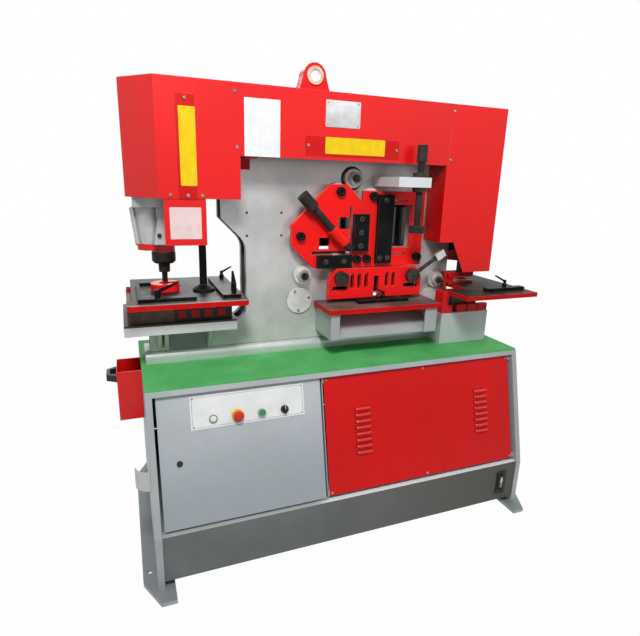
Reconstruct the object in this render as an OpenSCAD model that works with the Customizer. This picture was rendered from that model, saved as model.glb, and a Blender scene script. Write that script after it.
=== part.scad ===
// Hydraulic ironworker: punch, angle shear, bar shear, strip shear and notcher on one welded base.
// Millimetres, +Z up, +X to the machine's right, front at -Y. The origin lies on the floor,
// at the centre of the four anchor holes in the feet.

/* [Base] */
// Length over the outer faces of the end plates
base_l = 1508; // [1460:1:1560]
// Depth of the base at the plinth
base_d = 788; // [760:1:820]
// Depth of the base at the top
base_top_d = 560; // [530:1:580]
// Height of the base top
base_h = 680; // [660:1:720]
// Height of the plinth, where the front starts to lean back
bend_h = 211; // [190:1:225]
// Thickness of the end plates
end_t = 22; // [18:1:26]
// Thickness of the top plate
top_t = 10; // [8:1:12]
// Length of a foot, front to back
foot_l = 906; // [880:1:960]
// Width of a foot at its middle
foot_w = 102; // [96:1:112]
// Thickness of a foot
foot_t = 14; // [10:1:18]
// Diameter of an anchor hole
anchor_d = 22; // [18:1:26]
// Distance of an anchor hole from the end of its foot
anchor_end = 160; // [140:1:180]
// Thickness of the rubber mat
mat_t = 7; // [4:1:10]

/* [Cabinet] */
// How far door and panel lie behind the front edges of the end plates
reveal = 14; // [12:1:18]
// Thickness of the cabinet sheets
sheet = 2; // [1.5:0.5:2.5]
// Depth of the door's folded rim
door_rim = 18; // [16:1:22]
// Spacing of the buttons
control_pitch = 84; // [74:1:92]
// Diameter of the emergency stop's head
stop_d = 36; // [30:1:38]
// Rows of louvres in each column
louvre_rows = 8; // [4:1:9]
// Width of a louvre
louvre_w = 55; // [40:1:70]

/* [Slug drawer] */
// Width of the drawer
drawer_w = 145; // [120:1:150]
// Height of the drawer
drawer_h = 190; // [150:1:220]
// Length of the drawer
drawer_l = 240; // [220:1:260]
// How far the drawer stands out of the base
drawer_out = 85; // [70:1:95]

/* [Main frame] */
// Thickness of a frame plate
plate_t = 25; // [22:1:28]
// Gap between the frame plates, where the beam swings
gap_w = 60; // [54:1:70]
// How far the frame's middle lies behind the centre of the base
mid_y = 42; // [30:1:54]
// Height of the bed bar
bed_h = 51; // [44:1:58]
// Height of the frame over the bed
frame_h = 919; // [900:1:960]
// Distance of the punch axis from the centre
punch_out = 648; // [640:1:656]
// Depth of the throat behind the punch axis
throat_d = 292; // [280:1:300]
// Right edge of the frame plates
frame_x1 = 551; // [540:1:560]

/* [Shear beam] */
// Distance of the beam's pivot from the centre
pivot_out = 143; // [136:1:150]
// Height of the pivot over the bed
pivot_h = 162; // [155:1:170]
// Diameter of the pivot pin
pin_d = 64; // [50:1:76]
// Side clearance of the beam between the plates
beam_gap = 1; // [0.5:0.5:2]

/* [Punch] */
// Diameter of the ram
ram_d = 60; // [50:1:66]
// Diameter of the ram nut
ram_nut_d = 84; // [76:1:90]
// Diameter of the punch
punch_d = 20; // [14:1:26]
// Ram stroke
stroke = 55; // [40:1:58]

/* [Tables] */
// Length of the punch table
ptable_l = 401; // [390:1:410]
// Depth of the punch table
ptable_d = 472; // [460:1:490]
// Thickness of the punch table
ptable_t = 18; // [15:1:22]
// Length of the shear table
stable_l = 495; // [480:1:500]
// Height of the shear table's top over the bed
stable_h = 156; // [152:1:158]
// Length of the notch table
ntable_l = 350; // [330:1:380]
// Height of the notch table's top over the mat
ntable_h = 248; // [240:1:256]

/* [Covers] */
// Thickness of the cover sheets
skin = 3; // [2:0.5:4]
// Depth of the covers, front to back
cover_d = 354; // [344:1:370]
// Depth of the end chamfers
nose_d = 117; // [100:1:125]
// Length of the end chamfers
nose_l = 100; // [90:1:108]

/* [Hidden] */
$fn = 48;
over = 1;
fit = 0.05;
slip = 0.3;

// Base, derived
slope_y = (base_d - base_top_d) / 2;
slope_z = base_h - bend_h;
slope_l = sqrt(slope_y * slope_y + slope_z * slope_z);
slope_a = atan2(slope_y, slope_z);
inner_x = base_l / 2 - end_t;
foot_out = 46;
foot_tip = 50;
flare_l = 110;
anchor_in = 24;
anchor_x = base_l / 2 + foot_out - anchor_in;
tank_z = 40;
tank_wall = 4;
lip_h = 18;
divide_x = -137;
divide_t = 4;
flange_w = 20;
flange_t = 3;

// Door and panel in the leaning plane: x along the machine, y up the slope
door_side_gap = 10;
door_gap = 8;
door_sill = 14;
head_gap = 2;
door_x0 = -inner_x + door_side_gap;
door_x1 = divide_x - divide_t / 2 - door_gap;
door_y1 = slope_l - lip_h - head_gap;
door_face = -reveal;
hinge_in = 10;
hinge_x = door_x1 - hinge_in;
hinge_z = door_face - hinge_in;
hinge_r = 4;
hinge_l = 16;
hinge_plate_t = 3;
panel_gap = 3;
panel_x0 = divide_x + divide_t / 2 + panel_gap;
panel_x1 = inner_x - reveal;
panel_y0 = 18;
control_w = 402;
control_h = 114;
control_t = 2;
control_in = 308;
control_x = door_x0 + control_in;
control_drop = 124;
control_y0 = door_y1 - control_drop;
control_row = 30;
row_y = control_y0 + control_row;
row_z = door_face + control_t;
stem_d = 12;
travel_push = 5;
collar_d = 44;
collar_t = 6;
button_d = 28;
button_h = 8;
ring_h = 4;
lock_in = 63;
lock_x = door_x0 + lock_in;
lock_drop = 229;
lock_y = door_y1 - lock_drop;
lock_d = 17;
lock_h = 6;
louvre_pitch = 24;
louvre_h = 11;
louvre_rise = 9;
louvre_in = 152;
louvre_place_share = 0.5;
louvre_y = slope_l * louvre_place_share;
gauge_w = 34;
gauge_h = 84;
gauge_t = 9;
gauge_in = 70;

// Drawer
drawer_top_gap = 1;
drawer_z1 = base_h - top_t - drawer_top_gap;
drawer_z0 = drawer_z1 - drawer_h;
drawer_x0 = -base_l / 2 - drawer_out;
drawer_sheet = 2;
runner_w = 20;
runner_t = 4;
handle_l = 110;
handle_out = 36;
handle_bar = 12;
handle_drop = 45;
slug_hole_d = 70;
hook_y = -244;
hook_z = 330;
hook_h = 70;
hook_out = 47;
hook_t = 5;

// Main frame, derived
frame_w = 2 * plate_t + gap_w;
frame_y0 = mid_y - frame_w / 2;
frame_y1 = mid_y + frame_w / 2;
gap_y0 = mid_y - gap_w / 2;
gap_y1 = mid_y + gap_w / 2;
bed_lap = 16;
bed_w = frame_w + 2 * bed_lap;
bed_r = 25;
frame_z = base_h + bed_h;
frame_top = frame_z + frame_h;
punch_x = -punch_out;
bed_out = 88;
bed_x0 = punch_x - bed_out;
throat_x = punch_x + throat_d;
jaw_h = 94;
jaw_z = frame_z + jaw_h;
ped_out = 68;
ped_x = punch_x - ped_out;
support_t = 39;
bolster_h = 66;
ptop_z = jaw_z + support_t + bolster_h + ptable_t;
nose_out = 88;
nose_x = throat_x - nose_out;
nose_up = 265;
nose_z = ptop_z + nose_up;
throat_fillet = 60;
throat_bend = 70;
jaw_gap = 372;
jaw_under = ptop_z + jaw_gap;
jaw_plate_t = 32;
jaw_in = 84;
jaw_end = punch_x + jaw_in;
rib_t = 14;
rib_out = 46;

// Beam and tool places, all seen from the front
pivot_x = -pivot_out;
pivot_z = frame_z + pivot_h;
boss_r = 78;
tool_up = 297;
tool_z = frame_z + tool_up;
angle_w = 185;
angle_h = 200;
angle_x0 = -121;
angle_up = 46;
angle_z0 = tool_z + angle_up;
bar_w = 98;
bar_h = 172;
bar_x0 = 225;
bar_up = 72;
bar_z0 = tool_z + bar_up;
stop_z = frame_z + stable_h;
strip_x0 = -12;
strip_l = 402;
strip_gap = 20;
blade_h = 25;
blade_t = 18;
beam_low = stop_z + strip_gap + blade_h;
beam_up = 315;
beam_top = tool_z + beam_up;
beam_out = 149;
beam_end = frame_x1 + beam_out;
arm_up = 47;
arm_z0 = tool_z + arm_up;
arm_h = 135;
window_gap = 12;
column_gap = 93;
column_x1 = pivot_x - column_gap;
cover_r = 52;
cover_t = 8;

// Red tool plates in front of the frame
tool_gap = 30;
tool_t = 20;
tool_y1 = frame_y0 - tool_gap;
tool_y0 = tool_y1 - tool_t;
standoff_r = 32;
bolt_r = 17;
bolt_h = 16;
bolt_hex_share = 0.5;
bolt_shares = [[0.338, 0.983], [0.06, 0.419], [0.585, 0.932], [0.475, 0.108], [0.552, 0.108], [0.961, 0.115]];
block_t = 17;
plate_h = 296;
oct_x0 = -193;
bframe_x0 = 99;
bframe_w = 279;

// Covers, derived
cover_y0 = mid_y - cover_d / 2;
cover_y1 = mid_y + cover_d / 2;
cover_top = frame_top + skin;
leg_out = 18;
leg_x0 = punch_x - leg_out;
leg_l = 267;
leg_x1 = leg_x0 + leg_l;
leg_up = 338;
leg_z = ptop_z + leg_up;
beam_cover_h = 223;
beam_z = frame_top - beam_cover_h;
seam_in = 123;
seam_x0 = leg_x0 + seam_in;
rleg_x0 = 418;
seam_lap = 7;
seam_x1 = rleg_x0 + seam_lap;
rleg_l = 268;
rleg_x1 = rleg_x0 + rleg_l;
rleg_up = 52;
rleg_z = ptop_z + rleg_up;
rleg_step = 127;
rleg_foot = 67;
rleg_slant = 63;

// Punch unit
cyl_wall = 25;
piston_h = 60;
piston_d = 110;
cyl_d = piston_d + 2 * cyl_wall;
cyl_head = 40;
cyl_h = frame_top - jaw_under - cyl_head;
cyl_cap = 20;
housing_top = jaw_under - jaw_plate_t;
collar_h = 31;
collar_up = 145;
collar_z = ptop_z + collar_up;
nut_h = 39;
nut_up = 103;
nut_z = ptop_z + nut_up;
holder_d = 42;
holder_up = 70;
holder_z = ptop_z + holder_up;
punch_up = 33;
punch_z = ptop_z + punch_up;
strip_d = 104;
strip_h = 28;
strip_bore = 46;
post_in = 134;
post_x = punch_x + post_in;
post_front = 37;
post_y = mid_y - post_front;
post_d = 27;
post_foot_d = 80;
post_foot_h = 16;
guard_w = 136;
guard_h = 153;
guard_lap = 30;
guard_in = 14;

// Tables
ptable_out = 139;
ptable_x0 = punch_x - ptable_out;
ptable_y0 = mid_y - ptable_d / 2;
die_d = 56;
die_bore = 24;
fence_h = 13;
fence_w = 28;
lever_l = 82;
lever_r = 7;
lever_hub_r = 10;
lever_h = 28;
lever_stud_r = 5;
stable_x0 = -78;
stable_d = 174;
stable_t = 20;

// Box between two corners
module span(a, b) {
    translate(a) cube(b - a);
}

// Extrusions of an outline along each axis
module slab_x(x0, x1) {
    translate([x0, 0, 0]) rotate([90, 0, 90]) linear_extrude(x1 - x0) children();
}
module slab_y(y0, y1) {
    translate([0, y1, 0]) rotate([90, 0, 0]) linear_extrude(y1 - y0) children();
}
module slab_z(z0, z1) {
    translate([0, 0, z0]) linear_extrude(z1 - z0) children();
}

// Round bars along Y and X, from one end to the other
module bar_y(x, z, y0, y1, r) {
    translate([x, y1, z]) rotate([90, 0, 0]) cylinder(r = r, h = y1 - y0);
}
module bar_x(y, z, x0, x1, r) {
    translate([x0, y, z]) rotate([0, 90, 0]) cylinder(r = r, h = x1 - x0);
}

// Frame of the leaning front: x along the machine, y up the slope, z outwards
module on_slope() {
    translate([0, -base_d / 2, bend_h]) rotate([90 - slope_a, 0, 0]) children();
}

// Rectangle from two corners, and a slot with round ends
module area(a, b) {
    translate(a) square(b - a);
}
module slot(a, b, r) {
    translate(a) circle(r);
    translate(b) circle(r);
    d = b - a;
    translate(a) rotate(atan2(d[1], d[0])) translate([0, -r]) square([norm(d), 2 * r]);
}

// Points of an arc
function arc(cx, cy, r, a0, a1, n = 8) =
    [for (i = [0:n]) [cx + r * cos(a0 + (a1 - a0) * i / n), cy + r * sin(a0 + (a1 - a0) * i / n)]];

// A point of the leaning front, as a place in the Y-Z plane
function leaning(y, z) = [
    -base_d / 2 + y * sin(slope_a) - z * cos(slope_a),
    bend_h + y * cos(slope_a) + z * sin(slope_a)];

// Side outline of the base
module end_outline() {
    polygon([[-base_d / 2, foot_t], [-base_d / 2, bend_h], [-base_top_d / 2, base_h],
        [base_top_d / 2, base_h], [base_d / 2, bend_h], [base_d / 2, foot_t]]);
}

// One flared foot with its two anchor holes, for the right end
module foot() {
    out = base_l / 2 + foot_out;
    inside = out - foot_w;
    slab_z(0, foot_t) difference() {
        polygon([[inside, -foot_l / 2], [inside + foot_tip, -foot_l / 2], [out, -foot_l / 2 + flare_l],
            [out, foot_l / 2 - flare_l], [inside + foot_tip, foot_l / 2], [inside, foot_l / 2]]);
        for (s = [-1, 1]) translate([anchor_x, s * (foot_l / 2 - anchor_end)]) circle(d = anchor_d);
    }
}

// Bracket with the pin that one end of the door turns on
pin_gap = 1;
bracket_r = 8;
module door_pivot(y, up) {
    y0 = up > 0 ? y - pin_gap - hinge_plate_t : y + pin_gap;
    on_slope() {
        span([hinge_x - bracket_r, y0, hinge_z - bracket_r],
            [divide_x, y0 + hinge_plate_t, hinge_z + bracket_r]);
        translate([hinge_x, up > 0 ? y0 : y0 + hinge_plate_t, hinge_z])
            rotate([up > 0 ? -90 : 90, 0, 0]) cylinder(r = hinge_r, h = hinge_l);
    }
}

// Top plate with its front lip and the back sheet, one bent profile along the base
lip_t = 4;
back_t = 3;
module top_shell() {
    lip_y = base_top_d / 2 + top_t * tan(slope_a) - lip_t / cos(slope_a);
    back_y = base_top_d / 2 + top_t * tan(slope_a) - back_t / cos(slope_a);
    lip = leaning(slope_l - lip_h, 0);
    lip_in = leaning(slope_l - lip_h, -lip_t);
    foot_out_point = leaning(lip_t, 0);
    foot_in_point = leaning(lip_t, -back_t);
    slab_x(-inner_x, inner_x) polygon([lip, [-base_top_d / 2, base_h], [base_top_d / 2, base_h],
        [-foot_out_point[0], foot_out_point[1]], [-foot_in_point[0], foot_in_point[1]],
        [back_y, base_h - top_t], [-lip_y, base_h - top_t], lip_in]);
}

// Welded base: end plates, feet, top shell, divider, panel flanges, door pivots, drawer runners and a hook
drawer_play = 2;
divider_back = 120;
module base_frame() {
    inside = -reveal - sheet - flange_t;
    color("lightgray") {
        slab_x(inner_x, base_l / 2) end_outline();
        difference() {
            slab_x(-base_l / 2, -inner_x) end_outline();
            span([-base_l / 2 - over, mid_y - drawer_w / 2 - drawer_play, drawer_z0 - drawer_play],
                [-inner_x + over, mid_y + drawer_w / 2 + drawer_play, drawer_z1 + slip]);
        }
        for (s = [0, 1]) mirror([s, 0, 0]) foot();
        difference() {
            top_shell();
            translate([punch_x, mid_y, base_h - top_t - over])
                cylinder(d = slug_hole_d, h = top_t + 2 * over);
        }
        slab_x(divide_x - divide_t / 2, divide_x + divide_t / 2) polygon([
            leaning(-inside * tan(slope_a), inside), leaning(slope_l - lip_h, inside),
            [-base_top_d / 2 - inside, base_h - top_t], [divider_back, base_h - top_t], [divider_back, bend_h]]);
        on_slope() for (y = [panel_y0, door_y1 - flange_w])
            span([divide_x, y, inside], [inner_x, y + flange_w, inside + flange_t]);
        door_pivot(door_sill, 1);
        door_pivot(door_y1, -1);
        for (s = [0, 1]) translate([0, mid_y, 0]) mirror([0, s, 0]) drawer_runner();
        end_hook();
    }
}

// Hanging angle that carries one side of the drawer
module drawer_runner() {
    y = drawer_w / 2 + slip;
    slab_x(-inner_x, -inner_x + drawer_l) polygon([[y - runner_w, drawer_z0 - slip - runner_t],
        [y + runner_t, drawer_z0 - slip - runner_t], [y + runner_t, base_h - top_t], [y, base_h - top_t],
        [y, drawer_z0 - slip], [y - runner_w, drawer_z0 - slip]]);
}

// Bent strip low on the left end
module end_hook() {
    translate([-base_l / 2, hook_y, 0]) slab_z(hook_z, hook_z + hook_h) intersection() {
        difference() {
            circle(hook_out);
            circle(hook_out - hook_t);
        }
        area([-hook_out, -hook_out], [0, 0]);
    }
}

// Oil tank that forms the plinth
tank_set = 4;
module oil_tank() {
    y = base_d / 2 - tank_set;
    color("dimgray") difference() {
        span([-inner_x, -y, tank_z], [inner_x, y, bend_h]);
        span([-inner_x + tank_wall, -y + tank_wall, tank_z + tank_wall],
            [inner_x - tank_wall, y - tank_wall, bend_h - tank_wall]);
    }
}

// Oil level gauge on the front of the tank
gauge_r = 8;
gauge_slot_share = 0.5;
module oil_gauge() {
    y = -base_d / 2 + tank_set;
    z = (tank_z + bend_h) / 2;
    x = inner_x - gauge_in;
    color("black") difference() {
        slab_y(y - gauge_t, y) translate([x, z])
            slot([0, -gauge_h / 2 + gauge_w / 2], [0, gauge_h / 2 - gauge_w / 2], gauge_w / 2);
        slab_y(y - gauge_t - over, y - gauge_t / 2) translate([x, z])
            slot([0, -gauge_h * gauge_slot_share / 2], [0, gauge_h * gauge_slot_share / 2], gauge_r);
    }
    color("silver") for (s = [-1, 1])
        bar_y(x, z + s * (gauge_h / 2 - gauge_w / 2 + gauge_r),
            y - gauge_t - gauge_r / 2, y - gauge_t, gauge_r / 2);
}

// Green mat round the bed bar
mat_in = 4;
module rubber_mat() {
    color("seagreen") slab_z(base_h, base_h + mat_t) difference() {
        area([-base_l / 2, -base_top_d / 2 + mat_in], [base_l / 2, base_top_d / 2 - mat_in]);
        area([bed_x0 - slip, mid_y - bed_w / 2 - slip], [frame_x1 + slip, mid_y + bed_w / 2 + slip]);
    }
}

// Pressed louvre: a hood that is open below, cut from a round bar
louvre_c = (louvre_rise * louvre_rise - louvre_h * louvre_h) / (2 * louvre_rise);
module louvre_section(r) {
    intersection() {
        translate([louvre_c, 0]) circle(r);
        area([0, 0], [louvre_h, louvre_h]);
    }
}
module louvre_hood() {
    r = louvre_rise - louvre_c;
    rotate([0, -90, 0]) translate([0, 0, -louvre_w / 2]) difference() {
        linear_extrude(louvre_w) louvre_section(r);
        translate([0, -over, sheet]) linear_extrude(louvre_w - 2 * sheet) louvre_section(r - sheet);
    }
}

// Red panel over the pump room, with two columns of louvres
panel_screw_r = 4;
panel_screw_in = 10;
module louvre_panel() {
    z = door_face - sheet;
    cols = [panel_x0 + louvre_in, panel_x1 - louvre_in];
    color("red") on_slope() difference() {
        union() {
            span([panel_x0, panel_y0, z], [panel_x1, door_y1, z + sheet]);
            for (x = cols, i = [0:louvre_rows - 1])
                translate([x, louvre_y + (i - (louvre_rows - 1) / 2) * louvre_pitch, z + sheet])
                    louvre_hood();
        }
        for (x = cols, i = [0:louvre_rows - 1])
            translate([x, louvre_y + (i - (louvre_rows - 1) / 2) * louvre_pitch, z])
                span([-louvre_w / 2 + sheet, 0, -over],
                    [louvre_w / 2 - sheet, louvre_h - 2 * sheet, sheet + over]);
    }
    color("silver") on_slope() for (y = [panel_y0 + panel_screw_in, door_y1 - panel_screw_in])
        for (x = [panel_x0 + panel_screw_in, (panel_x0 + panel_x1) / 2, panel_x1 - panel_screw_in])
            translate([x, y, door_face])
                cylinder(r1 = panel_screw_r, r2 = panel_screw_r / 2, h = panel_screw_r / 2);
}

// Mounting plate in the cabinet with its contactors, on a foot that stands on the tank
electric_y = -120;
electric_in = 40;
electric_head = 30;
electric_foot = 60;
contactor_w = 45;
contactor_h = 75;
contactor_d = 80;
contactor_pitch = 70;
contactors = 6;
module electric_panel() {
    x0 = -inner_x + electric_in;
    x1 = divide_x - electric_in;
    color("orange") {
        span([x0, electric_y, bend_h], [x1, electric_y + flange_t, drawer_z1 - electric_head]);
        span([x0, electric_y, bend_h], [x1, electric_y + electric_foot, bend_h + flange_t]);
    }
    color("gray") for (i = [0:contactors - 1], row = [1, 2])
        translate([(x0 + x1) / 2 + (i - (contactors - 1) / 2) * contactor_pitch - contactor_w / 2,
            electric_y - contactor_d, bend_h + row * 2 * contactor_pitch - contactor_h / 2])
            cube([contactor_w, contactor_d, contactor_h]);
}

// Motor, pump and valve block on the tank
motor_d = 190;
motor_l = 260;
motor_x = 150;
motor_y = -60;
motor_lift = 20;
bell_d = 130;
bell_l = 70;
pump_d = 90;
pump_l = 120;
valve_w = 120;
valve_d = 140;
valve_h = 170;
valve_x = 606;
fin_count = 8;
fin_w = 10;
module power_pack() {
    z = bend_h + motor_lift + motor_d / 2;
    fin_pitch = motor_l / fin_count;
    color("steelblue") {
        bar_x(motor_y, z, motor_x, motor_x + motor_l, motor_d / 2 - fin_w);
        for (i = [0:fin_count - 1])
            bar_x(motor_y, z, motor_x + i * fin_pitch, motor_x + i * fin_pitch + fin_pitch / 2, motor_d / 2);
        span([motor_x, motor_y - motor_d / 2, bend_h],
            [motor_x + motor_l, motor_y + motor_d / 2, bend_h + fin_w]);
        span([motor_x + fin_w, motor_y - motor_d / 4, bend_h],
            [motor_x + motor_l - fin_w, motor_y + motor_d / 4, z]);
    }
    color("silver") {
        bar_x(motor_y, z, motor_x + motor_l, motor_x + motor_l + bell_l, bell_d / 2);
        bar_x(motor_y, z, motor_x + motor_l + bell_l, motor_x + motor_l + bell_l + pump_l, pump_d / 2);
        span([valve_x, motor_y, bend_h], [valve_x + valve_w, motor_y + valve_d, bend_h + valve_h]);
    }
}

// Door with folded rim, bored for the controls and for its two pivot pins
module button_row(z) {
    for (i = [0:3]) translate([button_x(i), row_y, z]) children();
}
function button_x(i) = control_x + (i - 3 / 2) * control_pitch;
module cabinet_door() {
    color("lightgray") on_slope() difference() {
        span([door_x0, door_sill, door_face - door_rim], [door_x1, door_y1, door_face]);
        span([door_x0 + sheet, door_sill + sheet, door_face - door_rim - over],
            [door_x1 - sheet, door_y1 - sheet, door_face - sheet]);
        button_row(door_face - sheet - over) cylinder(d = stem_d + 2 * fit, h = sheet + 2 * over);
        translate([lock_x, lock_y, door_face - sheet - over])
            cylinder(d = stem_d + 2 * fit, h = sheet + 2 * over);
        translate([hinge_x, door_sill - over, hinge_z]) rotate([-90, 0, 0])
            cylinder(r = hinge_r + fit, h = slope_l);
    }
}

// Pale plate that carries the controls
module control_plate() {
    color("white") on_slope() difference() {
        span([control_x - control_w / 2, control_y0, door_face],
            [control_x + control_w / 2, control_y0 + control_h, door_face + control_t]);
        button_row(door_face - over) cylinder(d = stem_d + 2 * fit, h = control_t + 2 * over);
    }
}

// Domed pilot lamp
module pilot_lamp() {
    color("white") on_slope() translate([button_x(0), row_y, row_z]) {
        cylinder(d = button_d, h = ring_h);
        translate([0, 0, -control_t - sheet]) cylinder(d = stem_d, h = control_t + sheet);
        translate([0, 0, ring_h]) cylinder(d1 = button_d - ring_h, d2 = button_d / 2, h = ring_h);
    }
}

// Yellow collar of the emergency stop
module stop_collar() {
    color("yellow") on_slope() translate([button_x(1), row_y, row_z]) difference() {
        cylinder(d = collar_d, h = collar_t);
        translate([0, 0, -over]) cylinder(d = stem_d + 2 * fit, h = collar_t + 2 * over);
    }
}

// Mushroom head of the emergency stop on its stem
stop_h = 16;
stop_neck_share = 0.9;
module stop_button() {
    lift = collar_t + travel_push + slip;
    color("red") on_slope() translate([button_x(1), row_y, row_z]) {
        translate([0, 0, -control_t - sheet]) cylinder(d = stem_d, h = control_t + sheet + lift);
        translate([0, 0, lift]) cylinder(d1 = stop_d * stop_neck_share, d2 = stop_d, h = stop_h / 2);
        translate([0, 0, lift + stop_h / 2]) cylinder(d1 = stop_d, d2 = stop_d / 2, h = stop_h / 2);
    }
}

// Green start button
module start_button() {
    lift = travel_push + slip;
    color("green") on_slope() translate([button_x(2), row_y, row_z]) {
        translate([0, 0, -control_t - sheet]) cylinder(d = stem_d, h = control_t + sheet + lift);
        translate([0, 0, lift]) cylinder(d = button_d, h = button_h);
    }
}

// Selector with a finger bar
module selector_knob() {
    color("black") on_slope() translate([button_x(3), row_y, row_z]) {
        translate([0, 0, -control_t - sheet]) cylinder(d = stem_d, h = control_t + sheet + slip);
        translate([0, 0, slip]) cylinder(d = button_d, h = button_h);
        span([-button_h / 2, -button_d / 2, button_h], [button_h / 2, button_d / 2, 2 * button_h]);
    }
}

// Quarter-turn lock of the door
module door_lock() {
    color("dimgray") on_slope() translate([lock_x, lock_y, door_face]) difference() {
        union() {
            translate([0, 0, -sheet]) cylinder(d = stem_d, h = sheet + slip);
            translate([0, 0, slip]) cylinder(d = lock_d, h = lock_h);
        }
        span([-lock_d, -sheet / 2, lock_h / 2], [lock_d, sheet / 2, lock_h + over]);
    }
}

// Open tray that catches the slugs
module slug_drawer() {
    y = drawer_w / 2;
    color("red") difference() {
        span([drawer_x0, mid_y - y, drawer_z0], [drawer_x0 + drawer_l, mid_y + y, drawer_z1]);
        span([drawer_x0 + drawer_sheet, mid_y - y + drawer_sheet, drawer_z0 + drawer_sheet],
            [drawer_x0 + drawer_l - drawer_sheet, mid_y + y - drawer_sheet, drawer_z1 + over]);
    }
}

// Pull handle of the drawer, a bowed grip on two legs
handle_slant_share = 0.55;
module drawer_handle() {
    z = drawer_z1 - handle_drop;
    y = handle_l / 2;
    grip = y * handle_slant_share;
    color("black") translate([drawer_x0, mid_y, 0]) slab_z(z, z + handle_bar * 2) difference() {
        polygon([[0, -y], [-handle_out, -grip], [-handle_out, grip], [0, y]]);
        polygon([[over, -y + 2 * handle_bar], [-handle_out + handle_bar, -grip + handle_bar / 2],
            [-handle_out + handle_bar, grip - handle_bar / 2], [over, y - 2 * handle_bar]]);
    }
}

// Bed bar with rounded long edges, bored for the slugs
module bed_bar() {
    y0 = mid_y - bed_w / 2;
    y1 = mid_y + bed_w / 2;
    color("silver") difference() {
        slab_x(bed_x0, frame_x1) {
            area([y0, base_h], [y1, frame_z - bed_r]);
            area([y0 + bed_r, base_h], [y1 - bed_r, frame_z]);
            for (y = [y0 + bed_r, y1 - bed_r]) translate([y, frame_z - bed_r]) circle(bed_r);
        }
        translate([punch_x, mid_y, base_h - over]) cylinder(d = slug_hole_d, h = bed_h + 2 * over);
    }
}

// Outline of the frame plates: pedestal, throat, upper jaw and right edge
module frame_outline() {
    diag = throat_x - throat_bend * (1 - cos(45)) - nose_x;
    bend_z = nose_z - diag - throat_bend * sin(45);
    polygon(concat([[ped_x, frame_z], [ped_x, jaw_z]],
        arc(throat_x - throat_fillet, jaw_z + throat_fillet, throat_fillet, 270, 360),
        arc(throat_x - throat_bend, bend_z, throat_bend, 0, 45),
        [[nose_x, nose_z], [nose_x, jaw_under], [jaw_end, jaw_under], [jaw_end, frame_top],
        [frame_x1, frame_top], [frame_x1, frame_z]]));
}

// Windows that the work passes through
module tool_windows() {
    area([angle_x0, angle_z0], [angle_x0 + angle_w, angle_z0 + angle_h]);
    area([bar_x0, bar_z0], [bar_x0 + bar_w, bar_z0 + bar_h]);
    area([strip_x0, stop_z - blade_h], [strip_x0 + strip_l, stop_z + strip_mouth]);
}

// The two frame plates, with windows, pivot bores and the small tapped holes of the throat
strip_mouth = 95;
tap_d = 9;
tap_in = 71;
tap_w = 133;
tap_h = 85;
tap_drop = 22;
tap_depth_share = 0.6;
module frame_plates() {
    x = throat_x + tap_in - tap_w / 2;
    z = nose_z + tap_drop - tap_h;
    taps = [[x, z], [x + tap_w, z], [x, z + tap_h], [x + tap_w, z + tap_h]];
    color("silver") difference() {
        union() {
            slab_y(frame_y0, gap_y0) frame_outline();
            slab_y(gap_y1, frame_y1) frame_outline();
        }
        slab_y(frame_y0 - over, frame_y1 + over) tool_windows();
        bar_y(pivot_x, pivot_z, frame_y0 - over, frame_y1 + over, pin_d / 2 + fit);
        for (t = taps) bar_y(t[0], t[1], frame_y0 - over, frame_y0 + plate_t * tap_depth_share, tap_d / 2);
        translate([tool_x(guide_shares[0]), 0, tool_height(guide_shares[0])])
            bar_y(0, 0, frame_y0 - over, frame_y0 + pocket_d, pocket_r);
    }
}

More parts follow.
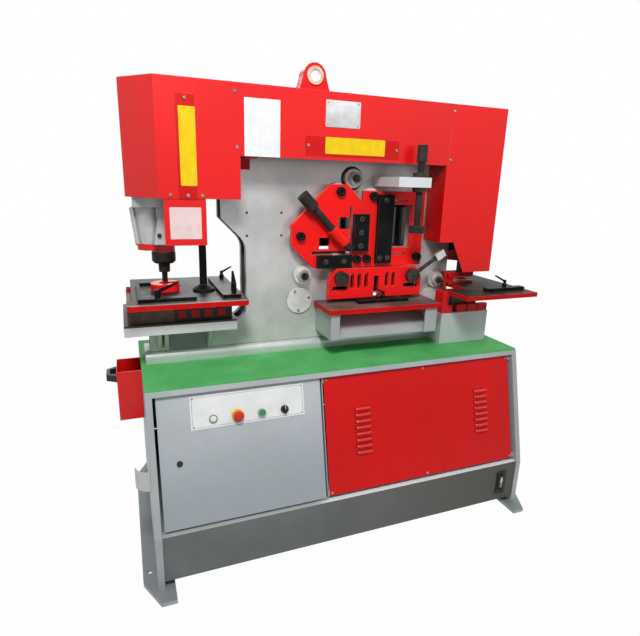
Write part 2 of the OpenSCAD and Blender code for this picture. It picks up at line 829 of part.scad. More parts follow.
// Spacers between the plates, the jaw plate over the ram, ribs, rear chute and the shear cylinder's mount
spacer_in = 10;
spacer_bore_share = 0.7;
bottom_spacer_h = 50;
beam_room = 117;
top_spacer_h = frame_top - beam_top - beam_room;
jaw_plate_out = 68;
jaw_plate_x0 = punch_x - jaw_plate_out;
jaw_plate_d = 210;
mount_t = 32;
mount_x1 = beam_end;
mount_lap = 120;
support_in = 14;
support_edge = 70;
rib_shares = [-0.46, -0.21, 1.47];
flap_t = 4;
flap_up = 100;
flap_drop = 27;
flap_out = 78;
module frame_spacers() {
    a = gap_y0;
    b = gap_y1;
    color("silver") {
        span([throat_x + spacer_in, a, frame_z], [column_x1, b, frame_top]);
        difference() {
            span([ped_x + spacer_in, a, frame_z], [throat_x + spacer_in, b, jaw_z]);
            translate([punch_x, mid_y, frame_z - over])
                cylinder(d = slug_hole_d * spacer_bore_share, h = jaw_h + 2 * over);
        }
        span([column_x1, a, frame_z], [frame_x1 - spacer_in, b, frame_z + bottom_spacer_h]);
        span([column_x1, a, frame_top - top_spacer_h], [frame_x1 - mount_lap, b, frame_top]);
        span([jaw_end + spacer_in, a, jaw_under], [throat_x + spacer_in, b, frame_top]);
        difference() {
            span([jaw_plate_x0, mid_y - jaw_plate_d / 2, jaw_under - jaw_plate_t],
                [nose_x, mid_y + jaw_plate_d / 2, jaw_under]);
            translate([punch_x, mid_y, jaw_under - jaw_plate_t - over])
                cylinder(d = ram_d + 2 * fit, h = jaw_plate_t + 2 * over);
        }
        difference() {
            span([ptable_x0 - support_in, ptable_y0 + support_edge, jaw_z],
                [throat_x - throat_fillet, ptable_y0 + ptable_d - support_edge, jaw_z + support_t]);
            translate([punch_x, mid_y, jaw_z - over]) cylinder(d = 2 * die_bore, h = support_t + 2 * over);
        }
        for (s = rib_shares) slab_x(punch_x + jaw_h * s, punch_x + jaw_h * s + rib_t)
            polygon([[frame_y0, frame_z + bed_lap / 2], [frame_y0 - rib_out, frame_z + jaw_h / 2],
                [frame_y0 - rib_out, jaw_z], [frame_y0, jaw_z]]);
        slab_x(strip_x0, strip_x0 + strip_l) polygon([[frame_y1, stop_z + flap_up],
            [frame_y1 + flap_out, stop_z - flap_drop], [frame_y1 + flap_out + flap_t, stop_z - flap_drop],
            [frame_y1, stop_z + flap_up + 3 * flap_t]]);
        span([frame_x1, mid_y - jaw_plate_d / 2, frame_top - mount_t],
            [mount_x1, mid_y + jaw_plate_d / 2, frame_top]);
        span([frame_x1, frame_y0, frame_top - top_spacer_h],
            [frame_x1 + rib_t, frame_y1, frame_top - mount_t]);
    }
}

// Pin that the beam swings on
module pivot_pin() {
    color("gray") bar_y(pivot_x, pivot_z, frame_y0, frame_y1, pin_d / 2);
}

// Turned pieces on the front plate: pivot covers, beam guides with stud and nut, standoffs of the tools
guide_r = 36;
guide_t = 18;
guide_hub_r = 24;
guide_hub_t = 22;
guide_nut_r = 15;
guide_nut_t = 12;
guide_stud_r = 7;
guide_stud_l = 14;
guide_shares = [[0.457, 1.149], [0.102, -0.105], [1.187, -0.247]];
pocket_r = 46;
pocket_d = 12;
small_cover_r = 39;
small_cover_in = 72;
small_cover_drop = 12;
module guide_boss() {
    y1 = frame_y0 - guide_t;
    y2 = y1 - guide_hub_t;
    y3 = y2 - guide_nut_t;
    bar_y(0, 0, y1, frame_y0, guide_r);
    bar_y(0, 0, y2, y1, guide_hub_r);
    translate([0, y2, 0]) rotate([90, 0, 0]) cylinder(r = guide_nut_r, h = guide_nut_t, $fn = 6);
    bar_y(0, 0, y3 - guide_stud_l, y3, guide_stud_r);
}
module frame_bosses() {
    color("whitesmoke") {
        for (g = guide_shares) translate([tool_x(g), 0, tool_height(g)]) guide_boss();
        translate([tool_x(guide_shares[0]), 0, tool_height(guide_shares[0])])
            bar_y(0, 0, frame_y0, frame_y0 + pocket_d, guide_r);
        bar_y(pivot_x, pivot_z, frame_y0 - cover_t, frame_y0, cover_r);
        bar_y(frame_x1 - small_cover_in, pivot_z - small_cover_drop,
            frame_y0 - cover_t, frame_y0, small_cover_r);
        for (b = bolt_shares) bar_y(tool_x(b), tool_height(b), tool_y1, frame_y0, standoff_r);
        comb_studs();
    }
}

// Swinging beam between the plates, with its own windows
module shear_beam() {
    color("dimgray") difference() {
        slab_y(gap_y0 + beam_gap, gap_y1 - beam_gap) difference() {
            union() {
                translate([pivot_x, pivot_z]) circle(boss_r);
                polygon([[pivot_x, pivot_z - boss_r], [strip_x0, beam_low], [strip_x0 + strip_l + blade_h, beam_low],
                    [frame_x1, arm_z0], [beam_end, arm_z0], [beam_end, arm_z0 + arm_h],
                    [frame_x1 + rib_t, arm_z0 + arm_h], [rleg_x0, beam_top],
                    [pivot_x - window_gap, beam_top], [pivot_x - boss_r, pivot_z]]);
            }
            area([angle_x0 - window_gap / 2, angle_z0 - window_gap],
                [angle_x0 + angle_w + window_gap, angle_z0 + angle_h + window_gap]);
            area([bar_x0 - window_gap, bar_z0 - window_gap],
                [bar_x0 + bar_w + window_gap, bar_z0 + bar_h + window_gap]);
        }
        bar_y(pivot_x, pivot_z, gap_y0 - over, gap_y1 + over, pin_d / 2 + fit);
    }
}

// Blades on the beam: strip blade, angle blade, bar blade and the notch punch
notch_w = 36;
notch_out = 112;
notch_x = frame_x1 + notch_out;
notch_in = 6;
notch_up = 12;
notch_z = ptop_z + notch_up;
angle_pass = 62;
module beam_blades() {
    y = gap_y0 + beam_gap;
    top = angle_z0 + angle_h + window_gap;
    left = angle_x0 - window_gap / 2;
    edge_x = angle_x0 + angle_w + window_gap - angle_pass;
    edge_z = angle_z0 - window_gap + angle_pass;
    bar_top = bar_z0 + bar_h + window_gap;
    color("black") {
        span([strip_x0, y, beam_low - blade_h], [strip_x0 + strip_l, y + blade_t, beam_low]);
        span([left, y, edge_z], [edge_x, y + blade_t, top]);
        span([bar_x0 - window_gap, y, bar_top - blade_h],
            [bar_x0 + bar_w + window_gap, y + blade_t, bar_top]);
        span([notch_x, y + notch_in, notch_z], [notch_x + notch_w, gap_y1 - beam_gap - notch_in, arm_z0]);
    }
}

// Fixed blades and their black holders on the red plates
vblock_x0 = 57;
vblock_w = 66;
vblock_up = 64;
vblock_z0 = tool_z + vblock_up;
vblock_h = 144;
hblock_x0 = -91;
hblock_l = 145;
hblock_h = 50;
keeper_x0 = 160;
keeper_w = 68;
keeper_in = 12;
module fixed_blades() {
    y0 = tool_y0 - block_t;
    color("black") {
        span([vblock_x0, y0, vblock_z0], [vblock_x0 + vblock_w, tool_y0, vblock_z0 + vblock_h]);
        span([hblock_x0, y0, tool_z], [hblock_x0 + hblock_l, tool_y0, tool_z + hblock_h]);
        span([keeper_x0, y0, tool_z + keeper_in],
            [keeper_x0 + keeper_w, tool_y0, tool_z + plate_h - keeper_in]);
        span([strip_x0, frame_y0, stop_z - blade_h], [strip_x0 + strip_l, gap_y0, stop_z]);
    }
}

// Place of a share of the tool plates' width and height
function tool_x(s) = oct_x0 + (bframe_x0 + bframe_w - oct_x0) * s[0];
function tool_height(s) = tool_z + plate_h * s[1];

// Red plate in front of the angle shear: octagon with the angle's slot and the sleeve of the screw
oct_x1 = 97;
oct_h = 317;
oct_top = tool_z + oct_h;
oct_cut = 152;
oct_low = 90;
oct_flat = 66;
slot_w = 14;
screw_a = 45;
screw_r = 14;
sleeve_r = 23;
sleeve_l = 78;
corner_x = vblock_x0;
corner_z = tool_z + hblock_h + slot_w / 2;
knob_r = 23;
knob_gap = 3;
screw_y = tool_y0 - knob_r - knob_gap;
sleeve_from = 58;
window_side = 46;
module angle_plate() {
    color("red") difference() {
        union() {
            slab_y(tool_y0, tool_y1) difference() {
                polygon([[oct_x0 + oct_low, tool_z], [oct_x1, tool_z], [oct_x1, oct_top - oct_flat],
                    [oct_x1 - oct_flat, oct_top], [oct_x0 + oct_cut, oct_top], [oct_x0, oct_top - oct_cut],
                    [oct_x0, tool_z + oct_low]]);
                slot([corner_x - slot_w / 2, corner_z],
                    [corner_x - slot_w / 2, corner_z + vblock_h + slot_w * 2], slot_w / 2);
                slot([corner_x - slot_w / 2, corner_z], [hblock_x0 - slot_w, corner_z], slot_w / 2);
                area([corner_x - window_side - slot_w, corner_z + 2 * window_side],
                    [corner_x - slot_w, corner_z + 3 * window_side]);
                area([corner_x - 3 * window_side, corner_z + slot_w],
                    [corner_x - 2 * window_side, corner_z + window_side + slot_w]);
            }
            along_screw(sleeve_from) {
                cylinder(r = sleeve_r, h = sleeve_l);
                span([-sleeve_r / 2, 0, 0], [sleeve_r / 2, tool_y0 - screw_y, sleeve_l]);
            }
        }
        along_screw(-screw_r) cylinder(r = screw_r + fit, h = screw_len);
    }
}

// Places a child on the inclined screw, a distance up from the corner of the angle
module along_screw(d) {
    translate([corner_x, screw_y, corner_z]) rotate([0, -screw_a, 0]) translate([0, 0, d]) children();
}

// Inclined hold-down screw with its grip
screw_len = 310;
knob_l = 66;
screw_tip = 24;
module angle_screw() {
    color("black") {
        along_screw(screw_tip) cylinder(r = screw_r, h = screw_len - screw_tip - knob_l);
        along_screw(screw_len - knob_l) cylinder(r = knob_r, h = knob_l);
    }
}

// Socket bolts of the red plates, with the hex of the key
module tool_bolts() {
    color("black") for (b = bolt_shares) difference() {
        bar_y(tool_x(b), tool_height(b), tool_y0 - bolt_h, tool_y0, bolt_r);
        translate([tool_x(b), tool_y0 - bolt_h / 2, tool_height(b)]) rotate([90, 0, 0])
            cylinder(r = bolt_r * bolt_hex_share, h = bolt_h, $fn = 6);
    }
}

// Red frame of the bar shear
slit_w = 8;
slit_l = 60;
slit_in = 14;
module bar_frame() {
    slit_x = bar_x0 + slit_in;
    color("red") slab_y(tool_y0, tool_y1) difference() {
        area([bframe_x0, tool_z], [bframe_x0 + bframe_w, tool_z + plate_h]);
        area([bar_x0, bar_z0], [bar_x0 + bar_w, bar_z0 + bar_h]);
        for (z = [bar_z0 - 3 * slit_w, bar_z0 + bar_h + 2 * slit_w])
            slot([slit_x, z], [slit_x + slit_l, z], slit_w / 2);
    }
}

// Bracket arm that the vertical screw runs in, with the nuts above and below
arm_x0 = 164;
arm_w = 138;
arm_out = 202;
bracket_up = 314;
arm_z = tool_z + bracket_up;
arm_t = 36;
vscrew_x = 275;
vscrew_in = 35;
vscrew_y = frame_y0 - arm_out + vscrew_in;
vscrew_r = 13;
nut_r = 29;
nut_t = 17;
module arm_bracket() {
    color("silver") difference() {
        union() {
            span([arm_x0, frame_y0 - arm_out, arm_z], [arm_x0 + arm_w, frame_y0, arm_z + arm_t]);
            translate([vscrew_x, vscrew_y, arm_z + arm_t]) cylinder(r = nut_r, h = nut_t);
            translate([vscrew_x, vscrew_y, arm_z - nut_t]) cylinder(r1 = vscrew_r * 2, r2 = nut_r, h = nut_t);
        }
        translate([vscrew_x, vscrew_y, arm_z - nut_t - over])
            cylinder(r = vscrew_r + fit, h = arm_t + 2 * nut_t + 2 * over);
    }
}

// Vertical hold-down screw with grip and foot
foot_r = 32;
foot_h = 27;
foot_up = 144;
vscrew_lift = 39;
vknob_r = 19;
vknob_l = 60;
module bar_screw() {
    z = tool_z + foot_up;
    top = arm_z + arm_t + nut_t + vscrew_lift;
    color("black") translate([vscrew_x, vscrew_y, 0]) {
        translate([0, 0, z]) cylinder(r = foot_r, h = foot_h);
        translate([0, 0, z + foot_h]) cylinder(r = vscrew_r, h = top - z - foot_h);
        translate([0, 0, top]) cylinder(r = vknob_r, h = vknob_l);
    }
}

// Slotted red plate that holds strips down, guided by two studs
comb_x0 = -45;
comb_l = 420;
comb_lift = 18;
comb_z0 = stop_z + comb_lift;
comb_h = 121;
comb_slot_r = 8.5;
comb_slot_h = 62;
comb_pitch = 31;
comb_notch_w = 24;
comb_notch_share = 0.72;
comb_cut_w = 33;
comb_cut_h = 43;
stud_r = 9;
stud_in = 50;
stud_up = 84;
comb_drop = 8;
end_slot_l = 52;
comb_slots = [-3, -2, -1, 1, 2];
comb_out = 22;
comb_y1 = tool_y1 - comb_out;
comb_t = 20;
comb_y0 = comb_y1 - comb_t;
studs = [comb_x0 + stud_in, comb_x0 + comb_l - stud_in];
module strip_holddown() {
    mid = comb_x0 + comb_l / 2;
    x1 = comb_x0 + comb_l;
    top = comb_z0 + comb_h;
    color("red") slab_y(comb_y0, comb_y1) difference() {
        polygon([[comb_x0, comb_z0], [x1, comb_z0], [x1, top - comb_cut_h], [x1 - comb_cut_w, top],
            [comb_x0 + comb_cut_w, top], [comb_x0, top - comb_cut_h]]);
        for (i = comb_slots) translate([mid + (i + sign(i) / 2) * comb_pitch, comb_z0 + comb_h / 2])
            slot([0, -comb_slot_h / 2 + comb_slot_r * 2], [0, comb_slot_h / 2], comb_slot_r);
        area([mid - comb_notch_w / 2, comb_z0 - over],
            [mid + comb_notch_w / 2, comb_z0 + comb_h * comb_notch_share]);
        for (x = studs) {
            translate([x, comb_z0 + stud_up]) circle(stud_r + comb_drop + over);
            slot([x - end_slot_l / 2, comb_z0 + stud_up / 2],
                [x + end_slot_l / 2, comb_z0 + stud_up / 2], comb_slot_r);
        }
    }
}

// Studs with collars that carry the slotted plate and its two knobs
collar_r = 26;
knob_t = 24;
module comb_studs() {
    for (x = studs) {
        bar_y(x, comb_z0 + stud_up, comb_y0 - slip - knob_t, frame_y0, stud_r);
        bar_y(x, comb_z0 + stud_up, comb_y1 + slip, frame_y0, collar_r);
    }
}

// Round eccentric knob on a stud, without and with its lever
eccentric_r = 28;
rod_l = 109;
rod_r = 8;
block_w = 44;
block_h = 32;
lever_a = 33;
module eccentric(x) {
    translate([x, comb_y0 - slip, comb_z0 + stud_up]) rotate([90, 0, 0]) difference() {
        cylinder(r = eccentric_r, h = knob_t);
        translate([0, 0, -over]) cylinder(r = stud_r + fit, h = knob_t + 2 * over);
    }
}
module strip_knob() {
    color("dimgray") eccentric(studs[0]);
}
module strip_lever() {
    color("dimgray") {
        eccentric(studs[1]);
        translate([studs[1], comb_y0 - slip - knob_t / 2, comb_z0 + stud_up]) rotate([0, -lever_a, 0]) {
            translate([eccentric_r - stud_r, 0, 0]) rotate([0, 90, 0]) cylinder(r = rod_r, h = rod_l);
            span([eccentric_r - stud_r + rod_l, -rod_r, -block_h / 2],
                [eccentric_r - stud_r + rod_l + block_w, rod_r, block_h / 2]);
        }
    }
}

// Table of the strip shear
module shear_table() {
    color("red") span([stable_x0, frame_y0 - stable_d, stop_z - stable_t],
        [stable_x0 + stable_l, frame_y0, stop_z]);
}

// Support of that table: two side plates with front flanges, and the chute between them
support_drop = 102;
side_t = 14;
flange_l = 37;
flange_r = 56;
chute_t = 8;
chute_in = 10;
module shear_support() {
    z1 = stop_z - stable_t;
    z0 = z1 - support_drop;
    y0 = frame_y0 - stable_d + chute_in;
    x0 = stable_x0 + chute_in;
    x1 = stable_x0 + stable_l - chute_in;
    color("silver") {
        span([x0, y0, z0], [x0 + side_t, frame_y0, z1]);
        span([x1 - side_t, y0, z0], [x1, frame_y0, z1]);
        span([x0, y0, z0], [x0 + flange_l, y0 + chute_t, z1]);
        span([x1 - flange_r, y0, z0], [x1, y0 + chute_t, z1]);
        slab_x(x0, x1) polygon([[frame_y0, z1 - chute_in], [frame_y0, z1 - chute_in - chute_t],
            [y0 + chute_t, z0], [y0 + chute_t, z0 + chute_t]]);
    }
}

// Flat guide bar with a slanted clamp handle, as on the shear and notch tables
guide_h = 14;
handle_r = 6;
handle_h = 30;
handle_grip = 46;
handle_lean = 62;
handle_neck_share = 0.75;
module clamp_handle() {
    cylinder(r = handle_r + handle_r / 2, h = handle_h / 2);
    cylinder(r = handle_r, h = handle_h);
    translate([0, 0, handle_h - handle_r]) rotate([0, handle_lean, 0])
        cylinder(r1 = handle_r * handle_neck_share, r2 = handle_r / 2, h = handle_grip);
}
sguide_turn = 180;
sguide_x = 75;
sguide_l = 225;
sguide_w = 30;
sguide_y = 108;
module strip_guide() {
    y0 = frame_y0 - sguide_y;
    z = stop_z + slip;
    color("black") {
        span([sguide_x, y0, z], [sguide_x + sguide_l, y0 + sguide_w, z + guide_h]);
        translate([sguide_x + sguide_l / 2, y0 + sguide_w / 2, z + guide_h])
            rotate(sguide_turn) clamp_handle();
    }
}

// Notch table, cut away beside the frame and over the die
ntable_x0 = 455;
ntable_y0 = -303;
ntable_d = 553;
ntable_t = 18;
ntable_cut = 153;
fork_in = 26;
fork_x0 = frame_x1 - fork_in;
ntable_z = base_h + mat_t + ntable_h;
die_gap = 5;
module notch_table() {
    x1 = ntable_x0 + ntable_l;
    y = frame_y0 - ntable_cut;
    color("red") slab_z(ntable_z - ntable_t, ntable_z) difference() {
        polygon([[ntable_x0, ntable_y0], [x1, ntable_y0], [x1, ntable_y0 + ntable_d],
            [frame_x1 + die_gap, ntable_y0 + ntable_d], [frame_x1 + die_gap, y], [ntable_x0, y]]);
        area([notch_x - die_gap, gap_y0 + beam_gap + notch_in - die_gap],
            [notch_x + notch_w + 2 * die_gap, gap_y1 - beam_gap - notch_in + die_gap]);
    }
}

// Grey block on the base that carries the notcher
nbase_x0 = 465;
nbase_l = 240;
nbase_y0 = -130;
nbase_d = 344;
nbase_h = 136;
module notch_base() {
    x1 = nbase_x0 + nbase_l;
    color("lightgray") slab_z(base_h + mat_t, base_h + mat_t + nbase_h) difference() {
        polygon([[nbase_x0, nbase_y0], [x1, nbase_y0], [x1, nbase_y0 + nbase_d],
            [frame_x1 + die_gap, nbase_y0 + nbase_d], [frame_x1 + die_gap, mid_y - bed_w / 2 - slip],
            [nbase_x0, mid_y - bed_w / 2 - slip]]);
        area([notch_x - die_gap, gap_y0 + beam_gap + notch_in - die_gap],
            [notch_x + notch_w + 2 * die_gap, gap_y1 - beam_gap - notch_in + die_gap]);
    }
}

// Pieces of the notcher: red columns and low stops, the black die holder and the fork beside the punch
tblock_w = 52;
tblock_d = 60;
tblock_neck_share = 0.55;
low_shares = [0.315, 0.55, 0.775];
low_share = 0.36;
low_w = 48;
low_d = 20;
fork_h = 64;
fork_l = 150;
fork_prong = 18;
fork_t = 32;
fork_bolt_r = 9;
module tblock(x, y) {
    z0 = base_h + mat_t + nbase_h;
    z1 = ntable_z - ntable_t;
    zm = z0 + (z1 - z0) * low_share;
    translate([x, y, 0]) slab_y(0, tblock_d) polygon([[0, z0], [tblock_w, z0], [tblock_w, zm],
        [tblock_w * tblock_neck_share, zm], [tblock_w * tblock_neck_share, z1], [0, z1]]);
}
module notch_tooling() {
    x1 = nbase_x0 + nbase_l;
    z0 = ntable_z + fork_prong;
    y0 = frame_y0 - fork_t;
    foot_z = base_h + mat_t + nbase_h;
    color("red") {
        tblock(nbase_x0, nbase_y0);
        tblock(x1 - tblock_w, nbase_y0 + nbase_d - tblock_d);
        for (s = low_shares) translate([nbase_x0 + nbase_l * s, nbase_y0, foot_z])
            span([0, 0, 0], [low_w, low_d, (ntable_z - ntable_t - foot_z) * low_share]);
        slab_y(y0, frame_y0) difference() {
            area([fork_x0, z0 - fork_h / 2], [fork_x0 + fork_l, z0 + fork_h / 2]);
            slot([fork_x0 + 3 * fork_prong, z0], [fork_x0 + fork_l + fork_prong, z0], fork_prong / 2);
            polygon([[frame_x1 + die_gap, z0 - fork_h / 2 - over], [fork_x0 + fork_l + over, z0 - fork_h / 2 - over],
                [fork_x0 + fork_l + over, z0 - fork_prong], [frame_x1 + die_gap, z0 - fork_prong]]);
        }
    }
    color("black") {
        for (s = [-1, 1])
            bar_y(fork_x0 + fork_prong, z0 + s * fork_h / 4, y0 - fork_bolt_r, y0, fork_bolt_r);
        span([nbase_x0 + tblock_w + die_gap, nbase_y0 + low_d, foot_z],
            [x1 - tblock_w, nbase_y0 + tblock_d, ntable_z - ntable_t]);
    }
}

// Guide bar of the notch table
nguide_turn = 140;
nguide_l = 190;
nguide_x = 596;
nguide_y = -246;
module notch_guide() {
    z = ntable_z + slip;
    color("black") {
        span([nguide_x, nguide_y, z], [nguide_x + nguide_l, nguide_y + sguide_w, z + guide_h]);
        translate([nguide_x + nguide_l / 2, nguide_y + sguide_w / 2, z + guide_h])
            rotate(nguide_turn) clamp_handle();
    }
}

// Hydraulic cylinders of the ram and of the beam, closed tubes with a bore
shear_in = 66;
shear_x = beam_end - shear_in;
rod_d = 50;
shear_d = 130;
shear_bore = 90;
rod_room = 78;
shear_h = frame_top - mount_t - arm_z0 - arm_h - rod_room;
shear_piston_h = 50;
module cylinders() {
    color("slategray") {
        translate([punch_x, mid_y, jaw_under]) difference() {
            cylinder(d = cyl_d, h = cyl_h);
            translate([0, 0, -over]) cylinder(d = ram_d + 2 * fit, h = cyl_cap + 2 * over);
            translate([0, 0, cyl_cap]) cylinder(d = piston_d + 2 * fit, h = cyl_h - 2 * cyl_cap);
        }
        translate([shear_x, mid_y, frame_top - mount_t - shear_h]) difference() {
            cylinder(d = shear_d, h = shear_h);
            translate([0, 0, -over]) cylinder(d = rod_d + 2 * fit, h = cyl_cap + 2 * over);
            translate([0, 0, cyl_cap]) cylinder(d = shear_bore + 2 * fit, h = shear_h - 2 * cyl_cap);
        }
    }
}

// Rod that presses on the right end of the beam
module shear_rod() {
    z1 = frame_top - mount_t - cyl_cap - slip;
    z0 = arm_z0 + arm_h + slip;
    color("silver") translate([shear_x, mid_y, 0]) {
        translate([0, 0, z1 - shear_piston_h]) cylinder(d = shear_bore, h = shear_piston_h);
        translate([0, 0, z0]) cylinder(d = rod_d, h = z1 - shear_piston_h - z0);
    }
}

// Cast housing that guides the ram: flange, two tapered barrels, ribs and the red collars below
housing_off = 42;
barrel_r = 58;
barrel_low_r = 43;
collar_r1 = 46;
collar_r2 = 41;
collar_step = 8;
hflange_out = 96;
hflange_x0 = punch_x - hflange_out;
hflange_l = 185;
hflange_d = 150;
hflange_t = 36;
hrib_r = 9;
boss_w = 24;
boss_low_w = 70;
hbolt_r = 7.5;
hbolt_t = 7;
hbolt_in = 16;
hbolt_up = 33;
boss_out = 16;
rib_lean_share = 0.35;
module ram_housing() {
    top = housing_top;
    low = collar_z + collar_h;
    h = top - hflange_t - low;
    front = mid_y - barrel_r - boss_out;
    color("silver") difference() {
        union() {
            span([hflange_x0, mid_y - hflange_d / 2, top - hflange_t],
                [hflange_x0 + hflange_l, mid_y + hflange_d / 2, top]);
            for (x = [punch_x - housing_off, punch_x])
                translate([x, mid_y, low]) cylinder(r1 = barrel_low_r, r2 = barrel_r, h = h);
            for (s = [-1, 1]) translate([punch_x - housing_off, mid_y + s * barrel_low_r / 2, low])
                rotate([0, -atan2(housing_off, h) * rib_lean_share, 0])
                    translate([-barrel_low_r, 0, 0]) cylinder(r = hrib_r, h = h);
            slab_y(front, mid_y) polygon([[punch_x - boss_low_w / 2, low], [punch_x + boss_low_w / 2, low],
                [punch_x + boss_w / 2, top - hflange_t], [punch_x - boss_w / 2, top - hflange_t]]);
            for (s = [-1, 1]) bar_y(punch_x + s * hbolt_in, low + hbolt_up, front - hbolt_t, front, hbolt_r);
        }
        translate([punch_x, mid_y, low - over]) cylinder(d = ram_d + 2 * fit, h = top - low + 2 * over);
    }
    color("red") difference() {
        union() {
            translate([punch_x - housing_off, mid_y, collar_z + collar_step])
                cylinder(r = collar_r1, h = collar_h - collar_step);
            translate([punch_x, mid_y, collar_z]) cylinder(r = collar_r2, h = collar_h);
        }
        translate([punch_x, mid_y, collar_z - over]) cylinder(d = ram_d + 2 * fit, h = collar_h + 2 * over);
    }
}

// Ram with its piston
module punch_ram() {
    z1 = jaw_under + cyl_h - cyl_cap - slip;
    color("silver") translate([punch_x, mid_y, 0]) {
        translate([0, 0, z1 - piston_h]) cylinder(d = piston_d, h = piston_h);
        translate([0, 0, nut_z + nut_h]) cylinder(d = ram_d, h = z1 - piston_h - nut_z - nut_h);
    }
}

// Nut, holder and punch under the ram
holder_taper_share = 0.93;
nut_edge = 8;
module ram_tool() {
    color("black") translate([punch_x, mid_y, 0]) {
        translate([0, 0, nut_z + nut_edge]) cylinder(d = ram_nut_d, h = nut_h - nut_edge);
        translate([0, 0, nut_z]) cylinder(d1 = ram_nut_d - 2 * nut_edge, d2 = ram_nut_d, h = nut_edge);
        translate([0, 0, holder_z])
            cylinder(d1 = holder_d * holder_taper_share, d2 = holder_d, h = nut_z - holder_z);
        translate([0, 0, punch_z]) cylinder(d = punch_d, h = holder_z - punch_z);
    }
}

// Round stripper with a flat front and a slot towards the right
strip_flat = 44;
strip_slot = 34;
module stripper() {
    color("red") difference() {
        translate([punch_x, mid_y, ptop_z]) cylinder(d = strip_d, h = strip_h);
        translate([punch_x, mid_y, ptop_z - over]) cylinder(d = strip_bore, h = strip_h + 2 * over);
        span([punch_x - strip_d, mid_y - strip_d, ptop_z - over],
            [punch_x + strip_d, mid_y - strip_flat, ptop_z + strip_h + over]);
        span([punch_x, mid_y - strip_slot / 2, ptop_z - over],
            [punch_x + strip_d, mid_y + strip_slot / 2, ptop_z + strip_h + over]);
    }
}

// Post between the table and the jaw, on a flanged foot
module guide_post() {
    color("black") translate([post_x, post_y, 0]) {
        translate([0, 0, ptop_z]) cylinder(d = post_foot_d, h = post_foot_h / 2);
        translate([0, 0, ptop_z + post_foot_h / 2])
            cylinder(d1 = post_foot_d, d2 = post_d, h = post_foot_h);
        translate([0, 0, ptop_z + post_foot_h])
            cylinder(d = post_d, h = housing_top - ptop_z - post_foot_h);
    }
}

// Red guard plate that hangs behind the left cover's front
module punch_guard() {
    x0 = leg_x0 + guard_in;
    color("red") span([x0, cover_y0 + skin, leg_z - guard_h],
        [x0 + guard_w, cover_y0 + 2 * skin, leg_z + guard_lap]);
}

// Punch table with rounded front corners, a knob at its stepped left side and a bore for the die
step_in = 18;
step_y = 92;
table_r = 14;
knob_back = 94;
knob_out = 16;
knob_share = 0.45;
module punch_table() {
    x1 = ptable_x0 + ptable_l;
    y1 = ptable_y0 + ptable_d;
    left = ptable_x0 + step_in;
    color("red") {
        slab_z(ptop_z - ptable_t, ptop_z) difference() {
            polygon(concat(arc(ptable_x0 + table_r, ptable_y0 + table_r, table_r, 180, 270),
                arc(x1 - table_r, ptable_y0 + table_r, table_r, 270, 360),
                [[x1, y1], [left, y1], [left, ptable_y0 + step_y], [ptable_x0, ptable_y0 + step_y]]));
            translate([punch_x, mid_y]) circle(d = die_d);
        }
        bar_x(mid_y + knob_back, ptop_z - ptable_t / 2, left - knob_out, left, ptable_t * knob_share);
    }
}

// Black bolster under the table, with T slots and the die
slot_share = 0.15;
pad_share = 0.45;
tslot_w = 26;
tslot_d = 62;
tslot_pitch = 46;
module table_bolster() {
    z0 = jaw_z + support_t;
    z1 = z0 + bolster_h;
    x1 = throat_x - throat_fillet;
    color("dimgray") difference() {
        span([ptable_x0, ptable_y0 + step_y, z0], [x1 - support_in, ptable_y0 + ptable_d - step_y, z1]);
        for (i = [0:3]) translate([punch_x + die_d / 2 + i * tslot_pitch, ptable_y0 + step_y, z0])
            span([0, -over, bolster_h * slot_share], [tslot_w, tslot_d, bolster_h + over]);
        translate([punch_x, mid_y, z0 - over]) cylinder(d = die_d, h = bolster_h + 2 * over);
    }
    color("black") translate([punch_x, mid_y, z0]) difference() {
        cylinder(d = die_d, h = bolster_h + ptable_t);
        translate([0, 0, -over]) cylinder(d = die_bore, h = bolster_h + ptable_t + 2 * over);
    }
}

// Red pads in the T slots
module bolster_pads() {
    z0 = jaw_z + support_t + bolster_h * slot_share;
    color("darkred") for (i = [0:3])
        translate([punch_x + die_d / 2 + i * tslot_pitch, ptable_y0 + step_y, z0])
            span([0, 0, 0], [tslot_w, tslot_d, bolster_h * pad_share]);
}

// Fences on the punch table, each with the stud that its lever turns on
module lever_stud() {
    cylinder(r = lever_stud_r, h = lever_h);
}
fence_y = 38;
fence_l = 190;
fence_in = 36;
rail_x = 84;
rail_w = 64;
rail_l = 330;
rail_in = 44;
rail_stud_share = 0.22;
rail_side_share = 0.82;
rail_back_share = 0.955;
fence_back = 298;
fence_rear_l = 161;
fence_rear_w = 16;
front_stud = [ptable_x0 + fence_in + fence_l / 3, ptable_y0 + fence_y + fence_w / 2];
rail_stud = [ptable_x0 + ptable_l - rail_x + rail_w * rail_side_share,
    ptable_y0 + rail_in + rail_l * rail_stud_share];
module front_fence() {
    x0 = ptable_x0 + fence_in;
    y0 = ptable_y0 + fence_y;
    z = ptop_z + slip;
    color("black") {
        span([x0, y0, z], [x0 + fence_l, y0 + fence_w, z + fence_h]);
        span([x0, y0, z], [x0 + fence_h, y0 + fence_back, z + fence_h]);
        span([x0, y0 + fence_back - fence_rear_w, z], [x0 + fence_rear_l, y0 + fence_back, z + fence_h]);
        translate([front_stud[0], front_stud[1], z + fence_h]) lever_stud();
    }
}
module side_rail() {
    x0 = ptable_x0 + ptable_l - rail_x;
    y0 = ptable_y0 + rail_in;
    z = ptop_z + slip;
    color("black") {
        span([x0, y0, z], [x0 + rail_w, y0 + rail_l, z + fence_h]);
        translate([rail_stud[0], rail_stud[1], z + fence_h]) lever_stud();
        translate([rail_stud[0], y0 + rail_l * rail_back_share, z + fence_h]) clamp_handle();
    }
}

